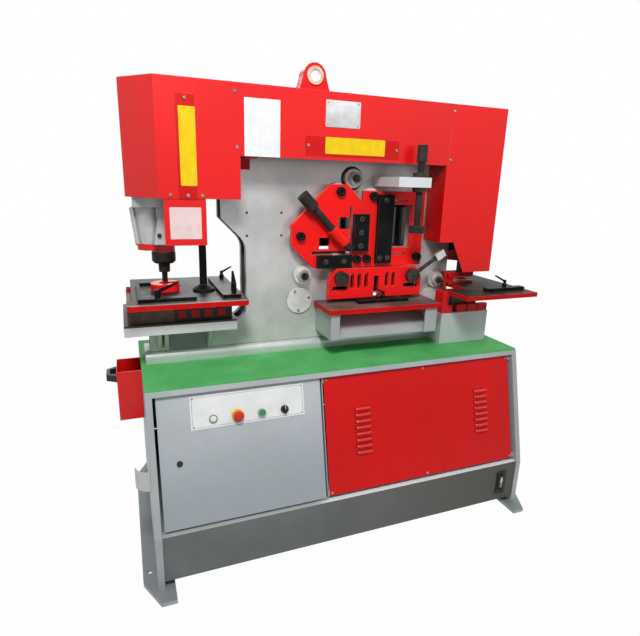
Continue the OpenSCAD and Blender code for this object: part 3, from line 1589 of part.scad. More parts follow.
// Clamp lever on a stud: hub and a tapered grip, slanted on the front fence and upright on the rail
lever_tilt = 75;
front_turn = 27;
rail_turn = 110;
rail_tilt = 8;
rail_lever_share = 0.6;
module clamp_lever(turn, tilt, thick, long) {
    rotate(turn) difference() {
        union() {
            cylinder(r = lever_hub_r, h = lever_h);
            translate([0, 0, lever_h - lever_r]) rotate([0, tilt, 0])
                cylinder(r1 = thick, r2 = lever_r / 2, h = long);
        }
        translate([0, 0, -over]) cylinder(r = lever_stud_r + fit, h = lever_h + 2 * over);
    }
}
module front_lever() {
    color("black") translate([front_stud[0], front_stud[1], ptop_z + 2 * slip + fence_h])
        clamp_lever(front_turn, lever_tilt, lever_r, lever_l);
}
module rail_lever() {
    color("black") translate([rail_stud[0], rail_stud[1], ptop_z + 2 * slip + fence_h])
        clamp_lever(rail_turn, rail_tilt, lever_hub_r, lever_l * rail_lever_share);
}

// Plan of the covers: a long box with chamfered ends, drawn in by a margin
module cover_plan(margin) {
    x0 = leg_x0 - nose_l;
    x1 = rleg_x1 + nose_l;
    cut = margin * tan(atan2(nose_l, nose_d) / 2);
    cut2 = margin * tan((90 - atan2(nose_l, nose_d)) / 2);
    y0 = cover_y0 + margin;
    y1 = cover_y1 - margin;
    polygon([[leg_x0 + cut, y0], [rleg_x1 - cut, y0], [x1 - margin, cover_y0 + nose_d + cut2],
        [x1 - margin, cover_y1 - nose_d - cut2], [rleg_x1 - cut, y1], [leg_x0 + cut, y1],
        [x0 + margin, cover_y1 - nose_d - cut2], [x0 + margin, cover_y0 + nose_d + cut2]]);
}

// Sheet hood over a front outline: walls and top of one sheet, open below and at the seams
module hood() {
    difference() {
        intersection() {
            slab_z(0, cover_top) cover_plan(0);
            slab_y(cover_y0 - over, cover_y1 + over) children();
        }
        slab_z(-over, frame_top) cover_plan(skin);
    }
}
module cover_left() {
    color("red") hood() area([leg_x0 - 2 * nose_l, leg_z], [seam_x0, cover_top]);
}
module cover_middle() {
    color("red") {
        hood() polygon([[seam_x0, leg_z], [leg_x1, leg_z], [leg_x1, beam_z], [seam_x1, beam_z],
            [seam_x1, cover_top], [seam_x0, cover_top]]);
        for (y = [[cover_y0, frame_y0 - slip], [frame_y1 + slip, cover_y1]])
            span([leg_x1 - skin, y[0], leg_z], [leg_x1, y[1], beam_z]);
    }
}
module cover_right() {
    x1 = rleg_x1 + 2 * nose_l;
    low = rleg_z;
    step = rleg_z + rleg_step;
    color("red") {
        hood() polygon([[seam_x1, cover_top], [seam_x1, beam_z], [rleg_x0, beam_z], [rleg_x0, step],
            [rleg_x0 + rleg_foot, step], [rleg_x0 + rleg_foot + rleg_slant, low], [x1, low], [x1, cover_top]]);
        for (y = [[cover_y0, frame_y0 - slip], [frame_y1 + slip, cover_y1]])
            span([rleg_x0, y[0], step], [rleg_x0 + skin, y[1], beam_z]);
    }
}

// Lifting eye on top of the covers, with its cross pin
eye_x = -85;
eye_w = 224;
eye_d = 56;
eye_flange = 26;
eye_r = 44;
eye_up = 74;
eye_neck = 118;
eye_pin_r = 32;
eye_pin_over = 6;
eye_pin_share = 0.62;
eye_pin_bore = 4;
module lifting_eye() {
    z = cover_top;
    pin_out = eye_d / 2 + eye_pin_over;
    color("red") difference() {
        union() {
            span([eye_x - eye_w / 2, mid_y - eye_d / 2, z],
                [eye_x + eye_w / 2, mid_y + eye_d / 2, z + eye_flange]);
            slab_y(mid_y - eye_d / 2, mid_y + eye_d / 2) translate([eye_x, z]) {
                polygon([[-eye_neck / 2, eye_flange], [eye_neck / 2, eye_flange],
                    [eye_r, eye_up], [-eye_r, eye_up]]);
                translate([0, eye_up]) circle(eye_r);
            }
        }
        bar_y(eye_x, z + eye_up, mid_y - eye_d, mid_y + eye_d, eye_pin_r + fit);
    }
    color("silver") difference() {
        bar_y(eye_x, z + eye_up, mid_y - pin_out, mid_y + pin_out, eye_pin_r);
        bar_y(eye_x, z + eye_up,
            mid_y - pin_out - over, mid_y - pin_out + eye_pin_bore, eye_pin_r * eye_pin_share);
        bar_y(eye_x, z + eye_up,
            mid_y + pin_out - eye_pin_bore, mid_y + pin_out + over, eye_pin_r * eye_pin_share);
    }
}

base_frame();
oil_tank();
oil_gauge();
rubber_mat();
louvre_panel();
electric_panel();
power_pack();
bed_bar();
frame_plates();
frame_spacers();
pivot_pin();
frame_bosses();
fixed_blades();
cylinders();
ram_housing();
stripper();
guide_post();
punch_guard();
punch_table();
table_bolster();
bolster_pads();
angle_plate();
tool_bolts();
bar_frame();
arm_bracket();
shear_table();
shear_support();
notch_table();
notch_base();
notch_tooling();
cover_left();
cover_middle();
cover_right();
lifting_eye();
cabinet_door();
control_plate();
pilot_lamp();
stop_collar();
stop_button();
start_button();
selector_knob();
door_lock();
slug_drawer();
drawer_handle();
shear_beam();
beam_blades();
shear_rod();
punch_ram();
ram_tool();
front_fence();
side_rail();
front_lever();
rail_lever();
angle_screw();
bar_screw();
strip_holddown();
strip_lever();
strip_knob();
strip_guide();
notch_guide();
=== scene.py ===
import math

import bmesh
import bpy
from mathutils import Matrix, Vector


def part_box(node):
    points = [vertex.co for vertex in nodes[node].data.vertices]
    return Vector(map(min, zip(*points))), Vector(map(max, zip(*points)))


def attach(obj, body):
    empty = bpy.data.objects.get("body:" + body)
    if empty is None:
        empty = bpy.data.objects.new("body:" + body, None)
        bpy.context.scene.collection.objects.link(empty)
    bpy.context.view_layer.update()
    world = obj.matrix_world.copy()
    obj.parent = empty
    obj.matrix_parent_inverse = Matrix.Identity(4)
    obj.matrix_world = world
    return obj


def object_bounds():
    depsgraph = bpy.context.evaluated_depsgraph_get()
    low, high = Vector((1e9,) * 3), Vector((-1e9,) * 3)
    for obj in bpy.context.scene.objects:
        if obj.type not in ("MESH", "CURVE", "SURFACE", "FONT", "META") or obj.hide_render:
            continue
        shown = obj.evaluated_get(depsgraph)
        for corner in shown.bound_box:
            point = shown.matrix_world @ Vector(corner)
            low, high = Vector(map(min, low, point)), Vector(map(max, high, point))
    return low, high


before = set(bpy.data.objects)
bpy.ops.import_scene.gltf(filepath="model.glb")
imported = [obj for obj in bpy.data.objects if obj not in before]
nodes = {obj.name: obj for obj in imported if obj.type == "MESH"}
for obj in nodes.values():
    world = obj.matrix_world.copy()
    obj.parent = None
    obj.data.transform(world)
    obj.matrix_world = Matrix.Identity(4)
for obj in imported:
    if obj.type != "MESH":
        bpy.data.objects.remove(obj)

cad_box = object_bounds()
scene = bpy.context.scene

# The studio: a pale floor under an even white surround, with one soft lamp above the
# camera, which stands close to the punch end and a little above the tables, and weaker
# lamps on the right and behind.
SENSOR, FOCAL_LENGTH = 36.0, 27.853
WHITE = (1.0, 1.0, 1.0, 1.0)
AMBIENT, FLOOR_GLOW = 0.32, 0.985
FLOOR_HALF, FLOOR_DROP = 14.0, 0.0005

scene.view_settings.view_transform = "Standard"


class Wire:
    """A socket of a node tree. Sums and products of wires add the tree's Math nodes."""

    def __init__(self, tree, socket=None):
        self.tree = tree
        self.socket = socket

    def make(self, kind, settings, values, out=0):
        node = self.tree.nodes.new("ShaderNode" + kind)
        for name, setting in settings.items():
            setattr(node, name, setting)
        for name, value in values.items():
            if isinstance(value, Wire):
                self.tree.links.new(value.socket, node.inputs[name])
            else:
                node.inputs[name].default_value = value
        return Wire(self.tree, node.outputs[out] if node.outputs else None)

    def reckon(self, how, first, second=0.0):
        return self.make("Math", {"operation": how}, {0: first, 1: second})

    def __add__(self, other):
        return self.reckon("ADD", self, other)

    def __radd__(self, other):
        return self.reckon("ADD", other, self)

    def __sub__(self, other):
        return self.reckon("SUBTRACT", self, other)

    def __rsub__(self, other):
        return self.reckon("SUBTRACT", other, self)

    def __mul__(self, other):
        return self.reckon("MULTIPLY", self, other)

    def __rmul__(self, other):
        return self.reckon("MULTIPLY", other, self)


lens = bpy.data.cameras.new("photo_view")
lens.sensor_width = SENSOR
lens.lens = FOCAL_LENGTH
camera = bpy.data.objects.new("photo_view", lens)
camera.matrix_world = Matrix((
    (0.93130752, 0.07054276, -0.35733740, -0.779),
    (-0.36313654, 0.25592268, -0.89589923, -1.844),
    (0.02825154, 0.96411996, 0.26395937, 1.350),
    (0.0, 0.0, 0.0, 1.0)))
scene.collection.objects.link(camera)
scene.camera = camera


def looked_at(tree):
    """1 on the rays that see or mirror the surround, 0 on those that only carry light."""
    path = Wire(tree).make("LightPath", {}, {}, "Is Camera Ray")
    outputs = path.socket.node.outputs
    return path + Wire(tree, outputs["Is Glossy Ray"]) + Wire(tree, outputs["Is Transmission Ray"])


surround = bpy.data.worlds.new("white_surround")
scene.world = surround
surround.use_nodes = True
sky = surround.node_tree
sky.nodes.clear()
ambient = Wire(sky).make("Background", {}, {"Color": (0.94, 0.97, 1.0, 1.0), "Strength": AMBIENT})
white = Wire(sky).make("Background", {}, {"Color": WHITE, "Strength": 1.0})
seen = Wire(sky).make("MixShader", {}, {0: looked_at(sky), 1: ambient, 2: white})
Wire(sky).make("OutputWorld", {"is_active_output": True}, {"Surface": seen})

for name, place, aim, width, power, mirrored in (
        ("key_lamp", (-0.9, -2.0, 3.0), (0.0, 0.0, 1.4), 0.6, 63.0, True),
        ("right_lamp", (2.6, -2.6, 3.6), (0.4, 0.0, 1.7), 2.4, 34.0, False),
        ("rear_lamp", (0.6, 4.2, 3.4), (0.0, 0.0, 0.9), 2.4, 90.0, True)):
    lamp = bpy.data.lights.new(name, "AREA")
    lamp.shape = "SQUARE"
    lamp.size = width
    lamp.energy = power
    stand = bpy.data.objects.new(name, lamp)
    stand.location = place
    stand.visible_glossy = mirrored
    stand.rotation_euler = (Vector(aim) - Vector(place)).to_track_quat("-Z", "Y").to_euler()
    scene.collection.objects.link(stand)

sheet = bmesh.new()
bmesh.ops.create_grid(sheet, x_segments=8, y_segments=8, size=FLOOR_HALF)
ground = bpy.data.meshes.new("floor")
sheet.to_mesh(ground)
sheet.free()
floor = bpy.data.objects.new("floor", ground)
floor.location = (0.0, 0.0, cad_box[0][2] - FLOOR_DROP)
scene.collection.objects.link(floor)
pale = bpy.data.materials.new("pale_floor")
pale.use_nodes = True
tree = pale.node_tree
tree.nodes.clear()
matt = Wire(tree).make("BsdfDiffuse", {}, {"Color": (0.50, 0.50, 0.50, 1.0)})
bright = Wire(tree).make("Emission", {}, {"Color": WHITE, "Strength": 1.0})
floor_face = Wire(tree).make("MixShader", {}, {0: looked_at(tree) * FLOOR_GLOW, 1: matt, 2: bright})
Wire(tree).make("OutputMaterial", {"is_active_output": True}, {"Surface": floor_face})
ground.materials.append(pale)

# The base is a welded cabinet of thick sheet: two end plates with feet, a top and a
# sill, sprayed with satin grey enamel, as are the bed bar and the supports on it. The
# paint is thin on the edges and rubbed pale on the hook; the tops of the feet carry painted shade.
SATIN_GREY = (0.43, 0.46, 0.465, 1.0)
BARE = (0.34, 0.34, 0.335, 1.0)
# Dust colour, which the corner mask also lays as painted shade in inner corners.
DUST_AND_CORNER_SHADE = (0.085, 0.078, 0.070, 1.0)
RIGHT, BACK, UP = (1.0, 0.0, 0.0), (0.0, 1.0, 0.0), (0.0, 0.0, 1.0)
FOOT_TOP = 0.016
HOOK = ((-0.803, -0.293, 0.329), (-0.7545, -0.243, 0.401))


def finish(name, recipe):
    """A material whose shader takes what the recipe gives for each of its sockets."""
    made = bpy.data.materials.new(name)
    made.use_nodes = True
    tree = made.node_tree
    shader = tree.nodes["Principled BSDF"]
    start = Wire(tree).make("TexCoord", {}, {}, "Object")
    for socket, value in recipe(start).items():
        if isinstance(value, Wire):
            tree.links.new(value.socket, shader.inputs[socket])
        else:
            shader.inputs[socket].default_value = value
    return made


def cloud(place, scale, detail=3.0, rough=0.5):
    """Soft noise, about 0.5 on average."""
    return place.make("TexNoise", {}, {"Vector": place, "Scale": scale, "Detail": detail,
                                       "Roughness": rough})


def along(place, way):
    """How far a place lies along a way."""
    return place.make("VectorMath", {"operation": "DOT_PRODUCT"}, {0: place, 1: way}, "Value")


def ramp(value, low, high):
    """0 up to low, 1 from high on, and smooth between."""
    return value.make("MapRange", {"interpolation_type": "SMOOTHSTEP"},
                      {"Value": value, "From Min": low, "From Max": high})


def over(mask, below, above):
    """One colour laid over another where the mask is 1."""
    return mask.make("Mix", {"data_type": "RGBA"}, {0: mask, 6: below, 7: above}, 2)


def shade(colour, by):
    return tuple(min(1.0, c * by) for c in colour[:3]) + (1.0,)


def rounded(place, width):
    """The normal of a solid whose edges are broken by a width."""
    return place.make("Bevel", {"samples": 4}, {"Radius": width})


def outward(place):
    return place.make("NewGeometry", {}, {}, "Normal")


def grained(place, height, strength, depth, edge):
    """A normal with the bumps of a height, on edges that are broken by a width."""
    return place.make("Bump", {}, {"Strength": strength, "Distance": depth, "Height": height,
                                   "Normal": rounded(place, edge)})


def rim(place, width):
    """1 on the edges of a solid, within about a width of them."""
    return ramp(1.0 - along(rounded(place, width), outward(place)), 0.025, 0.16)


def nook(place, reach):
    """1 in the inner corners of a solid and where pieces meet: the mask of the painted corner shade."""
    light = place.make("AmbientOcclusion", {"samples": 6}, {"Distance": reach}, "AO")
    return ramp(1.0 - light, 0.3, 0.95)


def inside(place, low, high, soft=0.0004):
    """1 within a box of the object's own space."""
    mask = 1.0
    for way, start, end in zip((RIGHT, BACK, UP), low, high):
        reach = along(place, way)
        mask = ramp(reach, start - soft, start) * (1.0 - ramp(reach, end, end + soft)) * mask
    return mask


def enamel(name, colour, rough=0.4, gloss=0.22, mottle=0.1, dirt_and_shade=0.55, chip=0.5, metal=0.0, marks=()):
    """Sprayed paint on steel, with dust and painted shade in its inner corners. Each mark is a mask and the
    tone that shows there.
    """
    def recipe(place):
        drift = cloud(place, 3.1, 5.0, 0.6)
        fine = cloud(place, 46.0, 4.0, 0.65)
        peel = cloud(place, 430.0, 1.0)
        coat = over(ramp(drift, 0.3, 0.7), shade(colour, 1.0 - mottle), shade(colour, 1.0 + mottle))
        coat = over(ramp(fine, 0.58, 0.78) * (0.35 * dirt_and_shade), coat, shade(colour, 0.62))
        # Dust and painted shade in the inner corners, laid in patches.
        coat = over(nook(place, 0.035) * dirt_and_shade * ramp(fine + drift, 0.7, 1.15), coat, DUST_AND_CORNER_SHADE)
        coat = over(ramp(rim(place, 0.0022) * fine, 0.36, 0.52) * chip, coat, BARE)
        for mask, tone in marks:
            coat = over(mask(place), coat, over(ramp(fine, 0.3, 0.75), shade(tone, 0.94), tone))
        return {
            "Base Color": coat,
            "Roughness": rough + (drift - 0.5) * 0.16 + ramp(fine, 0.5, 0.8) * 0.07,
            "Metallic": metal(place) if callable(metal) else metal,
            "Specular IOR Level": gloss,
            "Normal": grained(place, peel, 0.06, 0.0006, 0.0016),
        }
    return finish(name, recipe)


def paint(stuff, *names):
    """Gives nodes of the frame a material."""
    for name in names:
        for slot in nodes[name].material_slots:
            slot.material = stuff


def upward(place):
    """1 on the faces that look up."""
    return ramp(along(outward(place), UP), 0.7, 0.9)


def foot_top_shade(place):
    """Painted shade on the tops of the flanges on the floor."""
    return upward(place) * (1.0 - ramp(along(place, UP), FOOT_TOP - 0.0005, FOOT_TOP + 0.0005))


def hook_sheet(place):
    """The bent hook on the left end, rubbed pale."""
    return inside(place, *HOOK)


paint(enamel("base_grey_enamel", SATIN_GREY, rough=0.42, metal=0.12, marks=(
    (foot_top_shade, (0.26, 0.29, 0.295, 1.0)), (hook_sheet, (0.68, 0.67, 0.65, 1.0)))), "base_frame")
paint(enamel("satin_grey_enamel", SATIN_GREY, rough=0.42, metal=0.12), "shear_support", "cylinders")
paint(enamel("notch_grey_enamel", (0.58, 0.61, 0.63, 1.0), rough=0.42, metal=0.12), "notch_base")
paint(enamel("pale_bed_enamel", (0.60, 0.63, 0.62, 1.0), rough=0.34, metal=0.3, dirt_and_shade=0.7), "bed_bar")

# The plinth under the cabinet is the oil tank, welded from plate and sprayed grey; its dark
# grey is painted shade, deeper and browner towards the right, and its top ledge under the panel has a
# painted highlight.
def right_end_shade(place):
    # Painted shade, deeper towards the right end.
    return ramp(along(place, RIGHT), -0.45, 0.75)


def ledge_highlight(place):
    """Painted highlight on the top of the tank: full beside the panel, weaker under the door."""
    return upward(place) * (0.4 + ramp(along(place, RIGHT), -0.20, -0.12) * 0.6)


paint(enamel("shaded_plinth_enamel", (0.165, 0.180, 0.180, 1.0), rough=0.46, mottle=0.14, marks=(
    (right_end_shade, (0.104, 0.102, 0.087, 1.0)), (ledge_highlight, (0.88, 0.89, 0.87, 1.0)))), "oil_tank")

# The oil gauge is a black moulded level glass on a black back, bolted to the tank by two
# hollow screws, with a clear window over a pale strip and the oil standing half way up.
INK = (0.012, 0.012, 0.012, 1.0)
TANK_FRONT = -0.390
WINDOW_DEPTH = 0.0085
gauge_lo, gauge_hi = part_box("oil_gauge")
gauge_mid = (gauge_lo + gauge_hi) / 2.0


def moulded(name, colour, rough):
    """Moulded plastic with a fine grain, with dust and painted shade in its inner corners."""
    def recipe(place):
        drift = cloud(place, 24.0, 4.0, 0.6)
        clean = over(ramp(drift, 0.35, 0.7), shade(colour, 0.9), shade(colour, 1.08))
        # Dust and painted shade in the inner corners.
        return {
            "Base Color": over(nook(place, 0.008) * 0.3, clean, DUST_AND_CORNER_SHADE),
            "Roughness": rough + (drift - 0.5) * 0.18,
            "Specular IOR Level": 0.3,
            "Normal": grained(place, cloud(place, 260.0, 2.0), 0.08, 0.0004, 0.0008),
        }
    return finish(name, recipe)


def piece(name, mesh, stuff, body, turn=32.0):
    """Links a finished bmesh as one piece that rides on a body."""
    bmesh.ops.recalc_face_normals(mesh, faces=mesh.faces)
    data = bpy.data.meshes.new(name)
    mesh.to_mesh(data)
    mesh.free()
    data.polygons.foreach_set("use_smooth", [True] * len(data.polygons))
    data.set_sharp_from_angle(angle=math.radians(turn))
    data.materials.append(stuff)
    made = bpy.data.objects.new(name, data)
    scene.collection.objects.link(made)
    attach(made, body)


def close_rings(mesh, rings):
    """Joins a stack of rings into a closed skin."""
    for low, high in zip(rings, rings[1:]):
        for step in range(len(low)):
            after = (step + 1) % len(low)
            mesh.faces.new((low[step], low[after], high[after], high[step]))
    mesh.faces.new(rings[0])
    mesh.faces.new(rings[-1])


def facing(x, y, z):
    """A place on a front face: its own z points out towards -Y."""
    return Matrix.Translation((x, y, z)) @ Matrix.Rotation(math.radians(90.0), 4, "X")


def flat_plate(mesh, spot, width, height, thick, corner, bevel):
    """Adds a plate with round corners and a broken front edge, its back on the spot."""
    steps = 5

    def outline(inset, level):
        ring = []
        for cx, cy, first in ((1, 1, 0), (-1, 1, 1), (-1, -1, 2), (1, -1, 3)):
            for step in range(steps + 1):
                angle = (first + step / steps) * math.pi / 2.0
                reach = max(corner - inset, 0.0)
                x = cx * (width / 2.0 - corner) + reach * math.cos(angle)
                y = cy * (height / 2.0 - corner) + reach * math.sin(angle)
                ring.append(mesh.verts.new(spot @ Vector((x, y, level))))
        return ring
    close_rings(mesh, [outline(0.0, 0.0), outline(0.0, thick - bevel), outline(bevel, thick)])


def level_glass(place):
    oil = 1.0 - ramp(along(place, UP), gauge_mid.z - 0.001, gauge_mid.z + 0.001)
    haze = cloud(place, 90.0, 3.0)
    strip = over(haze, (0.52, 0.52, 0.5, 1.0), (0.66, 0.66, 0.64, 1.0))
    return {
        "Base Color": over(oil, strip, (0.24, 0.13, 0.03, 1.0)),
        "Roughness": 0.08 + haze * 0.06,
        "Coat Weight": 1.0,
    }


black = moulded("black_moulding", INK, rough=0.38)
paint(black, "oil_gauge")
gauge_back = bmesh.new()
flat_plate(gauge_back, facing(gauge_mid.x, TANK_FRONT, gauge_mid.z), gauge_hi.x - gauge_lo.x + 0.014,
           gauge_hi.z - gauge_lo.z + 0.022, thick=0.005, corner=0.007, bevel=0.0012)
piece("gauge_back", gauge_back, black, "machine")
glass = bmesh.new()
flat_plate(glass, facing(gauge_mid.x, gauge_lo.y + WINDOW_DEPTH, gauge_mid.z), 0.0128, 0.052,
           thick=0.0032, corner=0.0062, bevel=0.0012)
piece("gauge_glass", glass, finish("level_glass", level_glass), "machine")

# The mat is a loose sheet of ribbed green rubber, cut round the bed bar and laid on the
# top of the base. Steel dust and pale chips lie in the ribs.
RIB_PITCH = 0.0052


def stretched(place, by):
    return place.make("VectorMath", {"operation": "MULTIPLY"}, {0: place, 1: by})


def ribbed_rubber(place):
    across = along(place, BACK) * (2.0 * math.pi / RIB_PITCH)
    rib = across.reckon("SINE", across)
    drift = cloud(place, 7.0, 5.0, 0.6)
    smear = cloud(stretched(place, (9.0, 60.0, 9.0)), 1.0, 4.0, 0.6)
    chips = place.make("TexVoronoi", {"feature": "F1"}, {"Vector": place, "Scale": 160.0}, "Distance")
    chip = (1.0 - ramp(chips, 0.05, 0.13)) * ramp(cloud(place, 5.0, 2.0), 0.52, 0.66)
    green = over(ramp(drift, 0.3, 0.72), (0.080, 0.42, 0.115, 1.0), (0.130, 0.55, 0.175, 1.0))
    # The grooves between the ribs are painted a darker green as shade.
    green = over(ramp(rib, -0.2, -1.0) * 0.4, green, (0.032, 0.23, 0.058, 1.0))
    green = over(ramp(smear, 0.6, 0.78) * 0.35, green, (0.22, 0.52, 0.24, 1.0))
    green = over(chip * 0.8, green, (0.66, 0.76, 0.62, 1.0))
    return {
        "Base Color": green,
        "Roughness": 0.62 + (drift - 0.5) * 0.2,
        "Specular IOR Level": 0.2,
        "Normal": place.make("Bump", {}, {"Strength": 0.5, "Distance": 0.0010,
                                          "Height": rib * 0.5 + chip * 0.6}),
    }


paint(finish("ribbed_green_rubber", ribbed_rubber), "rubber_mat")

# The slug drawer is a folded box of sheet in gloss red enamel that slides out at the left
# end, with a black moulded handle screwed on.
red = enamel("gloss_red_enamel", (0.76, 0.006, 0.006, 1.0), rough=0.3, gloss=0.45, mottle=0.05,
             dirt_and_shade=0.3, chip=0.5)
paint(red, "slug_drawer")
paint(black, "drawer_handle")

# The louvred panel is one folded sheet with pressed hoods, in gloss red enamel, held on
# the sloping front of the base by six bright button screws.
SLOPE_FOOT = (0.0, -0.394, 0.211)
SLOPE_FACE = -0.014
HOOD_HALF, HOOD_DROP, HOOD_RISE = 0.0335, 0.0125, 0.0104
HOOD_END, HOOD_SKIN = 0.010, 0.0008
HOOD_COLUMNS, HOOD_MIDDLE = (0.020, 0.566), 0.2413
HOODS, HOOD_PITCH = 8, 0.024
PANEL_SCREWS = [(x, up) for x in (-0.122, 0.293, 0.708) for up in (0.028, 0.4527)]
lean = math.atan2(0.114, 0.469)
slope = Matrix.Translation(SLOPE_FOOT) @ Matrix.Rotation(math.radians(90.0) - lean, 4, "X")


def on_door(x, up, out=0.0):
    """A place on the slope of door and panel: its own z points out of it."""
    return slope @ Matrix.Translation((x, up, SLOPE_FACE + out))


def pressed_hood(mesh, spot, columns=16, rows=6):
    """Adds the skin of a hood, round at both ends and open below, its rim on the spot."""
    angles = [0.5 * math.pi * row / rows for row in range(rows + 1)]
    grids = []
    for height in (HOOD_RISE, HOOD_RISE - HOOD_SKIN):
        grid = []
        for column in range(columns + 1):
            x = HOOD_HALF * math.sin(math.pi * (column / columns - 0.5))
            past = max(abs(x) - HOOD_HALF + HOOD_END, 0.0) / HOOD_END
            arch = math.sqrt(max(1.0 - past * past, 0.0))
            grid.append([mesh.verts.new(spot @ Vector((
                x, HOOD_DROP * math.sin(angle), height * arch * math.cos(angle)))) for angle in angles])
        grids.append(grid)
    outer, inner = grids
    for grid in grids:
        for left, right in zip(grid, grid[1:]):
            for row in range(rows):
                mesh.faces.new((left[row], right[row], right[row + 1], left[row + 1]))
    for now in range(columns):
        mesh.faces.new((outer[now][0], outer[now + 1][0], inner[now + 1][0], inner[now][0]))


def ground_steel(name, colour, rough=0.32, lay=(220.0, 220.0, 5.0)):
    """Turned or ground steel with its tool marks, oil film and a few dark spots, and painted shade in its
    hollows.
    """
    def recipe(place):
        marks = cloud(stretched(place, lay), 1.0, 3.0, 0.6)
        drift = cloud(place, 11.0, 4.0, 0.6)
        tone = over(ramp(drift, 0.3, 0.75), shade(colour, 0.72), shade(colour, 1.12))
        tone = over(ramp(marks, 0.45, 0.75) * 0.35, tone, shade(colour, 0.6))
        # Painted shade in the hollows and where pieces meet.
        tone = over(nook(place, 0.02) * 0.7, tone, (0.03, 0.027, 0.024, 1.0))
        return {
            "Base Color": over(rim(place, 0.0014) * 0.5, tone, (0.62, 0.61, 0.60, 1.0)),
            "Metallic": 0.85,
            "Roughness": rough + (marks - 0.5) * 0.22 + (drift - 0.5) * 0.15,
            "Normal": grained(place, marks, 0.12, 0.0004, 0.0010),
        }
    return finish(name, recipe)


def turned(mesh, spot, profile, keyed=()):
    """Adds a turned form: rings of (radius, height) about the spot's own z.
    The rings whose numbers are in keyed have the six flats of a key or spanner."""
    sides, flat = 24, math.pi / 3.0
    rings = []
    for number, (radius, height) in enumerate(profile):
        ring = []
        for step in range(sides):
            angle = 2.0 * math.pi * step / sides
            reach = radius
            if number in keyed:
                part = (angle + flat / 2.0) % flat - flat / 2.0
                reach = radius * math.cos(flat / 2.0) / math.cos(part)
            ring.append(mesh.verts.new(spot @ Vector((
                reach * math.cos(angle), reach * math.sin(angle), height))))
        rings.append(ring)
    close_rings(mesh, rings)


def button_screws(mesh, spots, radius, rise):
    """Low domed screws with a hex socket."""
    for spot in spots:
        turned(mesh, spot, (
            (radius * 0.98, 0.0), (radius, rise * 0.25), (radius * 0.86, rise * 0.72),
            (radius * 0.6, rise), (radius * 0.46, rise), (radius * 0.40, rise * 0.35)), keyed=(4, 5))


paint(enamel("louvre_red_enamel", (0.68, 0.005, 0.005, 1.0), rough=0.28, mottle=0.05, dirt_and_shade=0.35, chip=0.2),
      "louvre_panel")
hoods = bmesh.new()
for x in HOOD_COLUMNS:
    for row in range(HOODS):
        up = HOOD_MIDDLE + (row - (HOODS - 1) / 2.0) * HOOD_PITCH
        pressed_hood(hoods, on_door(x, up - 0.0004, -0.0003))
bmesh.ops.remove_doubles(hoods, verts=hoods.verts, dist=0.000002)
piece("louvre_hoods", hoods, enamel(
    "hood_red_enamel", (0.70, 0.006, 0.006, 1.0), rough=0.2, gloss=0.6, mottle=0.04, dirt_and_shade=0.2, chip=0.0),
      "machine", turn=50.0)
steel = ground_steel("ground_steel", (0.40, 0.39, 0.38, 1.0))
panel_screws = bmesh.new()
button_screws(panel_screws, [on_door(x, up) for x, up in PANEL_SCREWS], 0.0054, 0.0040)
piece("panel_screws", panel_screws, steel, "machine")

# The cabinet door is folded sheet with a lighter, cooler grey than the base, hung on two
# pins at its right. A pale sheet with a printed frame line is screwed on for the controls.
SHEET_X, SHEET_UP, SHEET_FACE = -0.414, 0.396, 0.002
FRAME_HALF_X, FRAME_HALF_UP = 0.195, 0.051
SCREW_X, SCREW_UP = 0.192, 0.048
door_up = (0.0, math.sin(lean), math.cos(lean))
foot_level = SLOPE_FOOT[1] * math.sin(lean) + SLOPE_FOOT[2] * math.cos(lean)


# Painted shade: the door is painted darker towards its foot.
def door_foot_shade(place):
    return 1.0 - ramp(along(place, UP), 0.26, 0.60)


def unsigned(value):
    return value.reckon("ABSOLUTE", value)


def printed_sheet(place):
    side = unsigned(along(place, RIGHT) - SHEET_X) - FRAME_HALF_X
    end = unsigned(along(place, door_up) - (foot_level + SHEET_UP)) - FRAME_HALF_UP
    frame_line = 1.0 - ramp(unsigned(side.reckon("MAXIMUM", side, end)), 0.0004, 0.0010)
    brush = cloud(stretched(place, (14.0, 900.0, 900.0)), 1.0, 2.0)
    drift = cloud(place, 14.0, 4.0, 0.6)
    pale = over(ramp(drift, 0.3, 0.7), (0.78, 0.80, 0.79, 1.0), (0.87, 0.885, 0.875, 1.0))
    return {
        "Base Color": over(frame_line * 0.75, pale, (0.10, 0.10, 0.11, 1.0)),
        "Roughness": 0.36 + brush * 0.12,
        "Metallic": 0.1,
        "Normal": place.make("Bump", {}, {"Strength": 0.04, "Distance": 0.0003, "Height": brush}),
    }


paint(enamel("pale_door_enamel", (0.49, 0.525, 0.55, 1.0), rough=0.4, mottle=0.07, metal=0.1, dirt_and_shade=0.4,
             marks=((door_foot_shade, (0.39, 0.43, 0.455, 1.0)),)), "cabinet_door")
paint(finish("printed_control_sheet", printed_sheet), "control_plate")
corners = bmesh.new()
button_screws(corners, [on_door(SHEET_X + SCREW_X * sx, SHEET_UP + SCREW_UP * sy, SHEET_FACE)
                        for sx in (-1, 1) for sy in (-1, 1)], 0.0032, 0.0014)
piece("control_sheet_screws", corners, steel, "door")

# The controls stand in a row through the sheet: a white lamp, a red stop on its yellow
# collar, a green start in a bright ring and a black selector. All are moulded plastic,
# held by nuts from behind. The blackened quarter-turn lock is at the door's left.
ROW_UP = 0.369
LAMP_X, START_X, SELECTOR_X = -0.540, -0.372, -0.288
MARK_UP, KNOB_FACE = 0.0072, 0.0183
LOCK_X, LOCK_UP = -0.659, 0.2337


def from_line(place, first, second, spot):
    """How far a point is from a line that crosses the two ways at a spot."""
    side = along(place, first) - spot[0]
    rise = along(place, second) - spot[1]
    square = side * side + rise * rise
    return square.reckon("SQRT", square)


def from_control(place, x):
    """How far a point is from the axis of a control in the row."""
    return from_line(place, RIGHT, door_up, (x, foot_level + ROW_UP))


